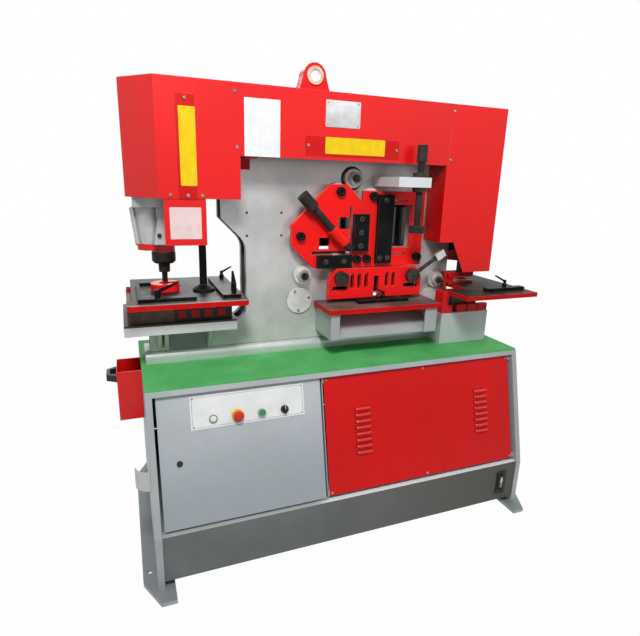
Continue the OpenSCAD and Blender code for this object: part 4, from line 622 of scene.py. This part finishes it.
def lamp_lens(place):
    ring = ramp(from_control(place, LAMP_X), 0.0108, 0.0113)
    haze = cloud(place, 60.0, 3.0)
    milk = over(haze, (0.72, 0.72, 0.70, 1.0), (0.82, 0.82, 0.80, 1.0))
    return {
        "Base Color": over(ring, milk, (0.10, 0.10, 0.105, 1.0)),
        "Roughness": 0.2 + haze * 0.12,
        "Coat Weight": 0.6,
    }


def start_cap(place):
    ring = ramp(from_control(place, START_X), 0.0112, 0.0118)
    haze = cloud(place, 60.0, 3.0)
    green = over(haze, (0.008, 0.20, 0.055, 1.0), (0.014, 0.27, 0.08, 1.0))
    return {
        "Base Color": over(ring, green, (0.30, 0.31, 0.31, 1.0)),
        "Roughness": 0.28 + haze * 0.14,
        "Coat Weight": 0.3,
        "Normal": rounded(place, 0.0015),
    }


def black_steel(name, tone=(0.0045, 0.0045, 0.0047, 1.0), rough=0.4, wear_and_glint=0.55, grip=None):
    """Blackened steel, rubbed bright on its edges, a brightening that also stands in as a painted highlight,
    and browned by oil. The grip is a knurl.
    """
    def recipe(place):
        drift = cloud(place, 16.0, 5.0, 0.62)
        fine = cloud(place, 120.0, 3.0, 0.6)
        # Bright edges: wear, and a painted highlight.
        worn = ramp(rim(place, 0.0016) * (fine + 0.25), 0.3, 0.62) * wear_and_glint
        skin = over(ramp(drift, 0.35, 0.75), tone, shade(tone, 2.4))
        skin = over(ramp(drift * fine, 0.3, 0.45) * 0.35, skin, (0.055, 0.043, 0.03, 1.0))
        skin = over(worn, skin, (0.27, 0.26, 0.25, 1.0))
        height, strength = fine, 0.12
        if grip:
            ridges = grip(place)
            height, strength = fine * 0.15 + ridges, 0.35
            skin = over(ramp(ridges, 0.25, 0.8) * 0.5, skin, (0.075, 0.062, 0.048, 1.0))
        return {
            "Base Color": skin,
            "Specular IOR Level": 0.08,
            "Roughness": rough + (drift - 0.5) * 0.25,
            "Normal": grained(place, height, strength, 0.0007, 0.0009),
        }
    return finish(name, recipe)


paint(finish("white_lamp_lens", lamp_lens), "pilot_lamp")
paint(moulded("yellow_collar", (0.86, 0.50, 0.02, 1.0), rough=0.34), "stop_collar")
paint(moulded("red_mushroom", (0.62, 0.035, 0.025, 1.0), rough=0.3), "stop_button")
paint(finish("green_start_cap", start_cap), "start_button")
paint(black, "selector_knob")
mark = bmesh.new()
flat_plate(mark, on_door(SELECTOR_X, ROW_UP + MARK_UP, KNOB_FACE), 0.0018, 0.012,
           thick=0.0006, corner=0.0008, bevel=0.0002)
piece("selector_mark", mark, moulded("white_mark", (0.78, 0.78, 0.76, 1.0), rough=0.4), "selector")

oxide = black_steel("blackened_steel")
knob_steel = black_steel("oiled_knob_steel", tone=(0.028, 0.025, 0.020, 1.0), rough=0.38, wear_and_glint=0.8)
paint(knob_steel, "door_lock")
rosette = bmesh.new()
turned(rosette, on_door(LOCK_X, LOCK_UP), (
    (0.0100, 0.0007), (0.0102, 0.0020), (0.0092, 0.0032), (0.0066, 0.0036)))
piece("lock_rosette", rosette, oxide, "lock")

# Behind the door and the louvres stand the switch panel, with its rows of moulded
# contactors on a back plate, and the finned motor with its pump and valve block.
paint(moulded("device_plastic", (0.36, 0.36, 0.34, 1.0), rough=0.5), "electric_panel")
paint(enamel("blue_motor_enamel", (0.05, 0.12, 0.24, 1.0), rough=0.42), "power_pack")

# The two frame plates are thick flame-cut steel with spacers welded between them, filled,
# and sprayed a pale silver grey that shows soft clouds where the spray overlapped. The
# flame-cut walls of the windows and throat, the inside between the plates, the bay under the punch bed and
# the pocket of the top guide carry painted shade, the pocket also dark bare steel; the plate under the punch
# stays oily black.
TOP_GUIDE = (0.068, 1.368)
TOOL_WINDOWS = ((-0.13, -0.0135, 1.065), (0.335, 0.0975, 1.285))
PUNCH_THROAT = ((-0.46, -0.0135, 0.86), (-0.25, 0.0975, 1.30))
BETWEEN_PLATES = ((-0.75, 0.0125, 0.70), (0.60, 0.0725, 1.66))
OILY_PLATE = ((-0.82, -0.130, 0.857), (-0.36, 0.300, 0.868))
GUSSET_BAY = ((-0.650, -0.0135, 0.640), (-0.508, -0.0050, 0.858))


def frame_shade_and_oil(place):
    """Painted shade in the pocket round the top guide, also dark bare steel there, on the flame-cut walls
    and between the plates; and the oily plate, its own colour.
    """
    reach = from_line(place, RIGHT, UP, TOP_GUIDE)
    dark = (1.0 - ramp(reach, 0.0455, 0.0462)) * ramp(along(place, BACK), -0.0128, -0.0122)
    cut = 1.0 - ramp(unsigned(along(outward(place), BACK)), 0.4, 0.7)
    # Painted shade on the window and throat walls and between the plates; the oily plate is its own black.
    for other in (inside(place, *TOOL_WINDOWS) * cut, inside(place, *PUNCH_THROAT) * cut * 0.6,
                  inside(place, *BETWEEN_PLATES) * 0.9, inside(place, *OILY_PLATE)):
        dark = dark.reckon("MAXIMUM", dark, other)
    return dark


def under_bed_shade(place):
    """The bay between the gussets under the punch bed, painted shade."""
    return inside(place, *GUSSET_BAY)


def spray(place):
    """The silver lies thin low on the plates, where they were masked."""
    return 0.06 + ramp(along(place, UP), 0.74, 0.98) * 0.34


paint(enamel("silver_frame_enamel", (0.56, 0.56, 0.55, 1.0), rough=0.34, mottle=0.2, dirt_and_shade=0.8, chip=0.6,
             metal=spray, marks=((under_bed_shade, (0.30, 0.265, 0.32, 1.0)),
                                 (frame_shade_and_oil, (0.036, 0.032, 0.028, 1.0)))), "frame_plates", "frame_spacers")

# The guide bosses and pivot covers are turned steel in pale paint; the nuts and studs in
# front of them stay oiled. The pin, ram and rod behind them are ground bright.
NUT_BACK = -0.053
COVER_X, COVER_Y, COVER_Z, COVER_REACH = -0.143, -0.021, 0.893, 0.041
COVER_TURNS = [math.radians(turn) for turn in (118, 15, -95)]


def boss_metal(place):
    nut = 1.0 - ramp(along(place, BACK), NUT_BACK - 0.0005, NUT_BACK + 0.0005)
    drift = cloud(place, 18.0, 4.0, 0.6)
    fine = cloud(place, 80.0, 4.0, 0.6)
    pale = over(ramp(drift, 0.3, 0.7), (0.60, 0.60, 0.585, 1.0), (0.80, 0.80, 0.78, 1.0))
    # Painted shade in the corners of the bosses, with dust.
    pale = over(nook(place, 0.02) * 0.75, pale, DUST_AND_CORNER_SHADE)
    dark = over(ramp(fine, 0.35, 0.7), (0.009, 0.008, 0.006, 1.0), (0.046, 0.039, 0.027, 1.0))
    # The nuts' edges are rubbed brass-bright, also a painted highlight.
    dark = over(rim(place, 0.0018) * 0.25, dark, (0.34, 0.29, 0.18, 1.0))
    return {
        "Base Color": over(nut, pale, dark),
        "Metallic": 0.25 - nut * 0.2,
        "Specular IOR Level": 0.2,
        "Roughness": 0.34 + drift * 0.12,
        "Normal": grained(place, fine, 0.1, 0.0005, 0.0014),
    }


paint(finish("turned_boss_metal", boss_metal), "frame_bosses")
paint(steel, "punch_ram", "shear_rod", "pivot_pin")
rim_screws = bmesh.new()
button_screws(rim_screws, [
    facing(COVER_X + COVER_REACH * math.cos(turn), COVER_Y, COVER_Z + COVER_REACH * math.sin(turn))
    for turn in COVER_TURNS], 0.0062, 0.0042)
piece("pivot_cover_screws", rim_screws, steel, "machine")

# Blades, blocks, levers and fences are hardened and blackened, and so is the beam that
# drives every shear between the plates. They are held by socket screws, and oil leaves
# brown clouds on their flats.
paint(oxide, "fixed_blades", "beam_blades", "tool_bolts", "guide_post", "front_fence", "side_rail",
      "front_lever", "rail_lever", "strip_guide", "notch_guide")
paint(black_steel("oiled_beam_steel", tone=(0.012, 0.011, 0.010, 1.0), rough=0.45), "shear_beam")

# The two hold-down screws are turned from steel, with knurled grips. The upright one runs
# in a pale painted arm that is bolted to the frame, between two oiled nuts.
SCREW_TONE = (0.024, 0.021, 0.019, 1.0)
BAR_X, BAR_Y, BAR_GRIP = 0.275, -0.180, 1.434
ARM_MID, ARM_HALF = 1.360, 0.018
ANGLE_FOOT, ANGLE_LIFT = (0.057, -0.089, 1.085), math.radians(45.0)


def clamp_nuts(place):
    near = 1.0 - ramp(from_line(place, RIGHT, BACK, (BAR_X, BAR_Y)), 0.0302, 0.0310)
    return near * ramp(unsigned(along(place, UP) - ARM_MID), ARM_HALF - 0.0002, ARM_HALF + 0.0004)


def knurl(origin, way, side, start, end, count, lead):
    """Diamond knurling round an axis, between two places along it."""
    origin, way, side = Vector(origin), Vector(way).normalized(), Vector(side).normalized()
    across = way.cross(side)

    def pattern(place):
        x = along(place, side) - origin.dot(side)
        y = along(place, across) - origin.dot(across)
        height = along(place, way) - origin.dot(way)
        angle = x.reckon("ARCTAN2", y, x) * count
        left, right = angle + height * lead, angle - height * lead
        waves = left.reckon("SINE", left) * right.reckon("SINE", right)
        return waves * ramp(height, start, start + 0.001) * (1.0 - ramp(height, end - 0.001, end))
    return pattern


paint(enamel("pale_arm_enamel", (0.75, 0.77, 0.77, 1.0), rough=0.34, metal=0.2, mottle=0.06,
             marks=((clamp_nuts, (0.045, 0.040, 0.033, 1.0)),)), "arm_bracket")
paint(black_steel("knurled_angle_screw", tone=SCREW_TONE, grip=knurl(
    ANGLE_FOOT, (-math.sin(ANGLE_LIFT), 0.0, math.cos(ANGLE_LIFT)), BACK,
    start=0.246, end=0.308, count=26.0, lead=900.0)), "angle_screw")
paint(black_steel("knurled_bar_screw", tone=SCREW_TONE, grip=knurl(
    (BAR_X, BAR_Y, BAR_GRIP), UP, RIGHT, start=0.002, end=0.058, count=24.0, lead=950.0)), "bar_screw")

# Two oiled steel knobs on eccentrics work the strip shear's hold-down. The lever on one of
# them is oiled black, with a block of bright ground steel pressed on its end.
LEVER_X, LEVER_Z, LEVER_LIFT = 0.325, 0.989, math.radians(33.0)
BLOCK_START = 0.1279


def lever_steel(place):
    way = (math.cos(LEVER_LIFT), 0.0, math.sin(LEVER_LIFT))
    reach = along(place, way) - (LEVER_X * way[0] + LEVER_Z * way[2])
    block = ramp(reach, BLOCK_START - 0.0003, BLOCK_START + 0.0003)
    drift = cloud(place, 40.0, 4.0, 0.6)
    brush = cloud(stretched(place, (90.0, 90.0, 500.0)), 1.0, 2.0)
    dark = over(ramp(drift, 0.35, 0.7), (0.018, 0.015, 0.011, 1.0), (0.062, 0.052, 0.038, 1.0))
    dark = over(rim(place, 0.0016) * 0.7, dark, (0.30, 0.27, 0.21, 1.0))
    bright = over(ramp(brush, 0.3, 0.7), (0.60, 0.59, 0.60, 1.0), (0.80, 0.79, 0.80, 1.0))
    return {
        "Base Color": over(block, dark, bright),
        "Metallic": block * 0.6,
        "Specular IOR Level": 0.25,
        "Roughness": 0.34 + (drift - 0.5) * 0.2,
        "Normal": grained(place, drift, 0.15, 0.0005, 0.0012),
    }


paint(knob_steel, "strip_knob")
paint(finish("oiled_lever_steel", lever_steel), "strip_lever")

# The front plates of the angle and bar shears and the slotted hold-down are flame-cut
# steel in bright red, with the socket screws of their black blades sunk in front. The
# notcher's fork and blocks are a deeper red round a black blade holder.
NOTCH_HOLDER = ((0.5220, -0.1100, 0.8228), (0.6530, -0.0700, 0.9172))
NOTCH_BOLTS = ((0.5170, -0.0560, 0.9240), (0.5370, -0.0453, 0.9820))
BLADE_FRONT = -0.080
BLADE_SCREWS = ((0.090, 1.216), (0.090, 1.164), (0.090, 1.112), (-0.056, 1.053), (0.020, 1.053),
                (0.194, 1.290), (0.177, 1.062), (0.211, 1.062))


def notch_black(place):
    holder = inside(place, *NOTCH_HOLDER)
    return holder.reckon("MAXIMUM", holder, inside(place, *NOTCH_BOLTS))


def cap_screws(mesh, spots, radius, rise):
    """Socket head cap screws on thin washers, with a broken rim and a deep hex."""
    for spot in spots:
        turned(mesh, spot, (
            (radius * 1.25, 0.0), (radius * 1.22, rise * 0.12), (radius, rise * 0.14),
            (radius, rise * 0.86), (radius * 0.88, rise), (radius * 0.58, rise),
            (radius * 0.54, rise * 0.4)), keyed=(5, 6))


paint(enamel("tool_red_enamel", (0.97, 0.009, 0.009, 1.0), rough=0.32, mottle=0.07, dirt_and_shade=0.6, chip=0.8),
      "angle_plate", "bar_frame", "strip_holddown", "stripper")
paint(enamel("notcher_red_enamel", (0.74, 0.007, 0.007, 1.0), rough=0.34, mottle=0.08, dirt_and_shade=0.75, chip=0.8,
             marks=((notch_black, (0.020, 0.018, 0.016, 1.0)),)), "notch_tooling")
blade_screws = bmesh.new()
cap_screws(blade_screws, [facing(x, BLADE_FRONT, z) for x, z in BLADE_SCREWS], 0.0085, 0.0042)
# The screws are lighter with full bright rims, partly a painted highlight.
piece("blade_screws", blade_screws, black_steel(
    "screw_steel", tone=(0.020, 0.020, 0.020, 1.0), rough=0.3, wear_and_glint=1.0), "machine")

# A blackened plate shaped as a rear stop sits on the back frame plate, over the flat slot of the
# angle shear; it is a dark sheet put in as painted shade, closing the view through the machine beside the
# angle's own way.
SHADE_PLATE_SPOT = (-0.053, 0.097, 1.1275)
stop_and_shade_plate = bmesh.new()
flat_plate(stop_and_shade_plate, Matrix.Translation(SHADE_PLATE_SPOT) @ Matrix.Rotation(math.radians(-90.0), 4, "X"),
           0.188, 0.071, thick=0.006, corner=0.004, bevel=0.001)
piece("rear_stop_shade_plate", stop_and_shade_plate, oxide, "machine")

# The work tables are planed plates: red on their edges, and on top bare steel that has
# gone brown with oil and is scored by the work dragged over it. The punch table carries
# an engraved scale along its front edge.
TICK_PITCH, TICK_SHIFT = 0.005, 900.0
PUNCH_OIL = (-0.575, 0.030, 0.175)
SCALE_BACK = -0.178


def worktop(name, low, high, oil=None, scale=None):
    """The oil is a round patch, x, y and radius; the scale lies in front of a y."""
    def recipe(place):
        top = upward(place)
        drift = cloud(place, 8.0, 5.0, 0.62)
        fine = cloud(place, 70.0, 4.0, 0.65)
        score = cloud(stretched(place, (9.0, 330.0, 9.0)), 1.0, 3.0, 0.55)
        cross = cloud(stretched(place, (260.0, 12.0, 9.0)), 1.0, 3.0, 0.55)
        bare = over(ramp(drift, 0.3, 0.72), low, high)
        bare = over(ramp(fine, 0.56, 0.75) * 0.5, bare, shade(high, 1.4))
        bare = over(ramp(score, 0.60, 0.68) * 0.5, bare, (0.26, 0.24, 0.22, 1.0))
        bare = over(ramp(cross, 0.64, 0.70) * 0.35, bare, (0.22, 0.20, 0.18, 1.0))
        if oil:
            reach = from_line(place, RIGHT, BACK, oil[:2]) + (drift - 0.5) * 0.12
            film = over(ramp(fine, 0.45, 0.75), (0.008, 0.006, 0.005, 1.0), (0.040, 0.026, 0.018, 1.0))
            bare = over(1.0 - ramp(reach, oil[2] * 0.8, oil[2]), bare, film)
        if scale:
            step = along(place, RIGHT) * (1.0 / TICK_PITCH) + TICK_SHIFT
            tick = ramp(unsigned(step.reckon("FRACT", step) - 0.5), 0.27, 0.34)
            tick = tick * (1.0 - ramp(along(place, BACK), scale, scale + 0.001))
            bare = over(tick, bare, (0.60, 0.58, 0.54, 1.0))
        side = over(ramp(drift, 0.35, 0.65), (0.50, 0.007, 0.007, 1.0), (0.64, 0.010, 0.009, 1.0))
        side = over(ramp(fine, 0.58, 0.72) * 0.6, side, (0.20, 0.012, 0.010, 1.0))
        worn = ramp(rim(place, 0.002) * fine, 0.32, 0.48) * 0.7
        return {
            "Base Color": over(worn, over(top, side, bare), (0.36, 0.32, 0.29, 1.0)),
            "Specular IOR Level": 0.07,
            "Roughness": 0.36 + (drift - 0.5) * 0.25 + top * 0.06,
            "Normal": grained(place, score + fine * 0.5, 0.12, 0.0005, 0.0016),
        }
    return finish(name, recipe)


paint(worktop("punch_worktop", (0.036, 0.032, 0.027, 1.0), (0.115, 0.104, 0.090, 1.0),
              oil=PUNCH_OIL, scale=SCALE_BACK), "punch_table")
paint(worktop("shear_worktop", (0.085, 0.050, 0.043, 1.0), (0.230, 0.150, 0.130, 1.0)), "shear_table")
paint(worktop("notch_worktop", (0.010, 0.007, 0.005, 1.0), (0.042, 0.030, 0.019, 1.0)), "notch_table")

# The bolster under the punch is a blackened block, rusted to a dull olive brown where
# hands and oil have not reached it, at its left end. Red pads stand in its front.
OLIVE_END = -0.634


def bolster_block(place):
    left = 1.0 - ramp(along(place, RIGHT), OLIVE_END - 0.006, OLIVE_END + 0.006)
    drift = cloud(place, 14.0, 5.0, 0.65)
    fine = cloud(place, 110.0, 4.0, 0.65)
    dark = over(ramp(drift, 0.35, 0.7), (0.013, 0.012, 0.012, 1.0), (0.040, 0.034, 0.029, 1.0))
    olive = over(ramp(drift, 0.3, 0.7), (0.075, 0.062, 0.040, 1.0), (0.165, 0.135, 0.085, 1.0))
    olive = over(ramp(fine, 0.55, 0.75) * 0.6, olive, (0.055, 0.042, 0.028, 1.0))
    worn = ramp(rim(place, 0.0022) * fine, 0.32, 0.5) * 0.6
    return {
        "Base Color": over(worn, over(left, dark, olive), (0.25, 0.23, 0.2, 1.0)),
        "Specular IOR Level": 0.25,
        "Roughness": 0.5 + (drift - 0.5) * 0.25,
        "Normal": grained(place, fine, 0.2, 0.0007, 0.0015),
    }


paint(finish("oiled_bolster", bolster_block), "table_bolster")
# The pads' darker red is painted shade.
paint(enamel("shaded_pad_red_enamel", (0.52, 0.007, 0.007, 1.0), rough=0.36, dirt_and_shade=0.9), "bolster_pads")

# The ram housing is a rough silver-painted casting bolted to the cylinder. Its two lower
# collars are masked and sprayed red. The holder and punch below are oiled tool steel.
COLLAR_TOP = 1.124
HOUSING_BOLTS = ((-0.6730, -0.0420, 1.1480), (-0.6230, -0.0325, 1.1660))


def housing_paint(place):
    collar = 1.0 - ramp(along(place, UP), COLLAR_TOP - 0.0005, COLLAR_TOP + 0.0005)
    drift = cloud(place, 9.0, 5.0, 0.6)
    fine = cloud(place, 130.0, 4.0, 0.65)
    edge = rim(place, 0.003)
    pale = over(ramp(drift, 0.3, 0.7), (0.40, 0.41, 0.40, 1.0), (0.60, 0.61, 0.60, 1.0))
    ruby = over(ramp(drift, 0.3, 0.7), (0.62, 0.007, 0.007, 1.0), (0.74, 0.009, 0.009, 1.0))
    bolt = over(edge, (0.014, 0.013, 0.011, 1.0), (0.22, 0.20, 0.16, 1.0))
    # Painted shade in the flutes and corners, with dust.
    tone = over(nook(place, 0.035) * 0.9, over(collar, pale, ruby), shade(DUST_AND_CORNER_SHADE, 0.6))
    tone = over(inside(place, *HOUSING_BOLTS), tone, bolt)
    return {
        "Base Color": over(ramp(edge * fine, 0.38, 0.52) * 0.4, tone, BARE),
        "Metallic": (1.0 - collar) * 0.3,
        "Roughness": 0.38 + (fine - 0.5) * 0.2,
        "Normal": grained(place, fine, 0.22, 0.0009, 0.003),
    }


paint(finish("cast_housing_paint", housing_paint), "ram_housing")
paint(black_steel("punch_tool_steel", tone=(0.016, 0.014, 0.012, 1.0), rough=0.36, wear_and_glint=0.8), "ram_tool")

# The covers are bent red sheet screwed to the frame: a left hood over the punch cylinder,
# the long middle and the right hood, whose inner flank is painted darker as shade. A tab bent from the
# same sheet holds the middle one from below; its darker red is painted shade.
TAB_LEFT, TAB_RIGHT, TAB_THICK = -0.376, -0.339, 0.003
TAB_FOOT, TAB_END = (-0.0145, 1.387), (-0.130, 1.4245)
BEND_Y, BEND_Z, BEND_RADIUS = -0.0245, 1.4145, 0.010


def inner_side_shade(place):
    """The flank of the right hood that looks at the tools, painted darker as shade."""
    return ramp(along(outward(place), (-1.0, 0.0, 0.0)), 0.7, 0.9)


def folded(mesh, x0, x1, path, thick):
    """Adds a folded strip: a path of (y, z) points, drawn along x."""
    rings = []
    for number, (y, z) in enumerate(path):
        before, after = path[max(number - 1, 0)], path[min(number + 1, len(path) - 1)]
        way = Vector((after[0] - before[0], after[1] - before[1])).normalized() * (thick / 2.0)
        rings.append([mesh.verts.new((x, y - way.y * side, z + way.x * side))
                      for x, side in ((x0, -1), (x1, -1), (x1, 1), (x0, 1))])
    close_rings(mesh, rings)


paint(red, "cover_left", "cover_middle", "punch_guard")
paint(enamel("hood_side_enamel", (0.84, 0.006, 0.006, 1.0), rough=0.3, gloss=0.4, mottle=0.05, dirt_and_shade=0.3,
             chip=0.5, marks=((inner_side_shade, (0.54, 0.004, 0.004, 1.0)),)), "cover_right")
bend = [(BEND_Y + BEND_RADIUS * math.cos(math.radians(turn)),
         BEND_Z + BEND_RADIUS * math.sin(math.radians(turn))) for turn in range(0, 91, 15)]
tab = bmesh.new()
folded(tab, TAB_LEFT, TAB_RIGHT, [TAB_FOOT] + bend + [TAB_END], TAB_THICK)
piece("cover_tab", tab, enamel("shaded_tab_red_enamel", (0.52, 0.006, 0.006, 1.0), rough=0.4, dirt_and_shade=0.6),
      "machine")

# The lifting eye is a red casting bolted to the top of the frame, with a pale steel tube
# pressed through it.
EYE = (-0.085, 1.727)


def eye_casting(place):
    reach = from_line(place, RIGHT, UP, EYE)
    pin = 1.0 - ramp(reach, 0.0318, 0.0322)
    bore = 1.0 - ramp(reach, 0.0196, 0.0200)
    drift = cloud(place, 14.0, 5.0, 0.6)
    fine = cloud(place, 100.0, 4.0, 0.6)
    ruby = over(ramp(drift, 0.3, 0.7), (0.66, 0.008, 0.008, 1.0), (0.78, 0.011, 0.010, 1.0))
    ruby = over(ramp(rim(place, 0.0035) * fine, 0.3, 0.46) * 0.7, ruby, (0.24, 0.13, 0.10, 1.0))
    tube = over(ramp(drift, 0.35, 0.65), (0.48, 0.41, 0.30, 1.0), (0.74, 0.67, 0.54, 1.0))
    tube = over(bore, tube, (0.86, 0.85, 0.82, 1.0))
    return {
        "Base Color": over(pin, ruby, tube),
        "Metallic": pin * 0.3,
        "Specular IOR Level": 0.25,
        "Roughness": 0.34 + (fine - 0.5) * 0.2,
        "Normal": grained(place, fine, 0.2, 0.0008, 0.002),
    }


paint(finish("painted_eye_casting", eye_casting), "lifting_eye")

# On the covers are two red sheet plates over the switch openings, each with a blank field
# of yellow foil, a blank ruled chart under film and a bare aluminium plate on four rivets.
# Button screws hold the plates and the covers. The guard has a blank field of pale foil.
FRONT = -0.135
PLATE_THICK, BARE_THICK = 0.0016, 0.0012
CHART_COLUMN, CHART_ROW, CHART_SHIFT = 0.0175, 0.0078, 100.0
BARE_X, BARE_Z = -0.0315, 1.582
RIVET_X, RIVET_Z = 0.058, 0.036
SWITCH_SCREWS = ((-0.5735, 1.593), (-0.5735, 1.297), (-0.160, 1.474), (0.190, 1.472))
COVER_SCREWS = ((-0.415, 1.626), (-0.410, 1.455), (-0.629, 1.298), (-0.527, 1.297),
                (0.434, 1.626), (0.434, 1.449))
FIELD_UP = 0.0735


def vinyl(name, colour):
    """Thin glossy foil, a little uneven where it was rubbed down."""
    def recipe(place):
        drift = cloud(place, 30.0, 4.0, 0.6)
        return {
            "Base Color": over(ramp(drift, 0.3, 0.7), shade(colour, 0.93), shade(colour, 1.05)),
            "Roughness": 0.3 + drift * 0.12,
            "Specular IOR Level": 0.2,
            "Normal": place.make("Bump", {}, {"Strength": 0.06, "Distance": 0.0004, "Height": drift}),
        }
    return finish(name, recipe)


def ruled_paper(place):
    """A blank chart: pale columns and rows under clear film."""
    x = along(place, RIGHT) * (1.0 / CHART_COLUMN) + CHART_SHIFT
    z = along(place, UP) * (1.0 / CHART_ROW)
    column = ramp(unsigned(x.reckon("FRACT", x) - 0.5), 0.47, 0.5)
    row = ramp(unsigned(z.reckon("FRACT", z) - 0.5), 0.43, 0.5)
    drift = cloud(place, 40.0, 4.0, 0.6)
    paper = over(ramp(drift, 0.3, 0.7), (0.80, 0.81, 0.82, 1.0), (0.88, 0.88, 0.88, 1.0))
    return {
        "Base Color": over(row.reckon("MAXIMUM", column, row) * 0.4, paper, (0.33, 0.34, 0.37, 1.0)),
        "Roughness": 0.35 + drift * 0.15,
        "Specular IOR Level": 0.2,
    }


switch_plates = bmesh.new()
for x, z, width, height in ((-0.5735, 1.445, 0.061, 0.320), (0.014, 1.473, 0.372, 0.066)):
    flat_plate(switch_plates, facing(x, FRONT, z), width, height, PLATE_THICK, corner=0.003, bevel=0.0004)
piece("switch_plates", switch_plates, enamel(
    "switch_plate_red", (0.60, 0.006, 0.006, 1.0), rough=0.34, mottle=0.06, dirt_and_shade=0.3, chip=0.6),
      "machine")
yellow_fields = bmesh.new()
for x, z, width, height in ((-0.5690, 1.448, 0.052, 0.242), (0.0215, 1.4765, 0.236, 0.056)):
    flat_plate(yellow_fields, facing(x, FRONT - PLATE_THICK, z), width, height,
               thick=0.0006, corner=0.003, bevel=0.0002)
piece("yellow_fields", yellow_fields, vinyl("yellow_foil", (0.86, 0.57, 0.010, 1.0)), "machine")
chart = bmesh.new()
flat_plate(chart, facing(-0.3235, FRONT, 1.519), 0.123, 0.182, thick=0.0007, corner=0.001, bevel=0.0002)
piece("blank_chart", chart, finish("ruled_chart_paper", ruled_paper), "machine")
bare_plate = bmesh.new()
flat_plate(bare_plate, facing(BARE_X, FRONT, BARE_Z), 0.133, 0.088, BARE_THICK, corner=0.003, bevel=0.0003)
piece("bare_plate", bare_plate, ground_steel(
    "brushed_aluminium", (0.82, 0.82, 0.83, 1.0), rough=0.4, lay=(6.0, 200.0, 420.0)), "machine")
cover_screws = bmesh.new()
button_screws(cover_screws, [facing(BARE_X + RIVET_X * sx, FRONT - BARE_THICK, BARE_Z + RIVET_Z * sz)
                             for sx in (-1, 1) for sz in (-1, 1)], 0.0030, 0.0016)
button_screws(cover_screws, [facing(x, FRONT - PLATE_THICK, z) for x, z in SWITCH_SCREWS], 0.0058, 0.0038)
button_screws(cover_screws, [facing(x, FRONT, z) for x, z in COVER_SCREWS], 0.0058, 0.0038)
piece("cover_screws", cover_screws, steel, "machine")
guard_lo, guard_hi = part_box("punch_guard")
field = bmesh.new()
flat_plate(field, facing((guard_lo.x + guard_hi.x) / 2.0, guard_lo.y, guard_lo.z + FIELD_UP), 0.102, 0.104,
           thick=0.0006, corner=0.004, bevel=0.0002)
piece("guard_field", field, vinyl("pale_foil", (0.84, 0.64, 0.63, 1.0)), "machine")
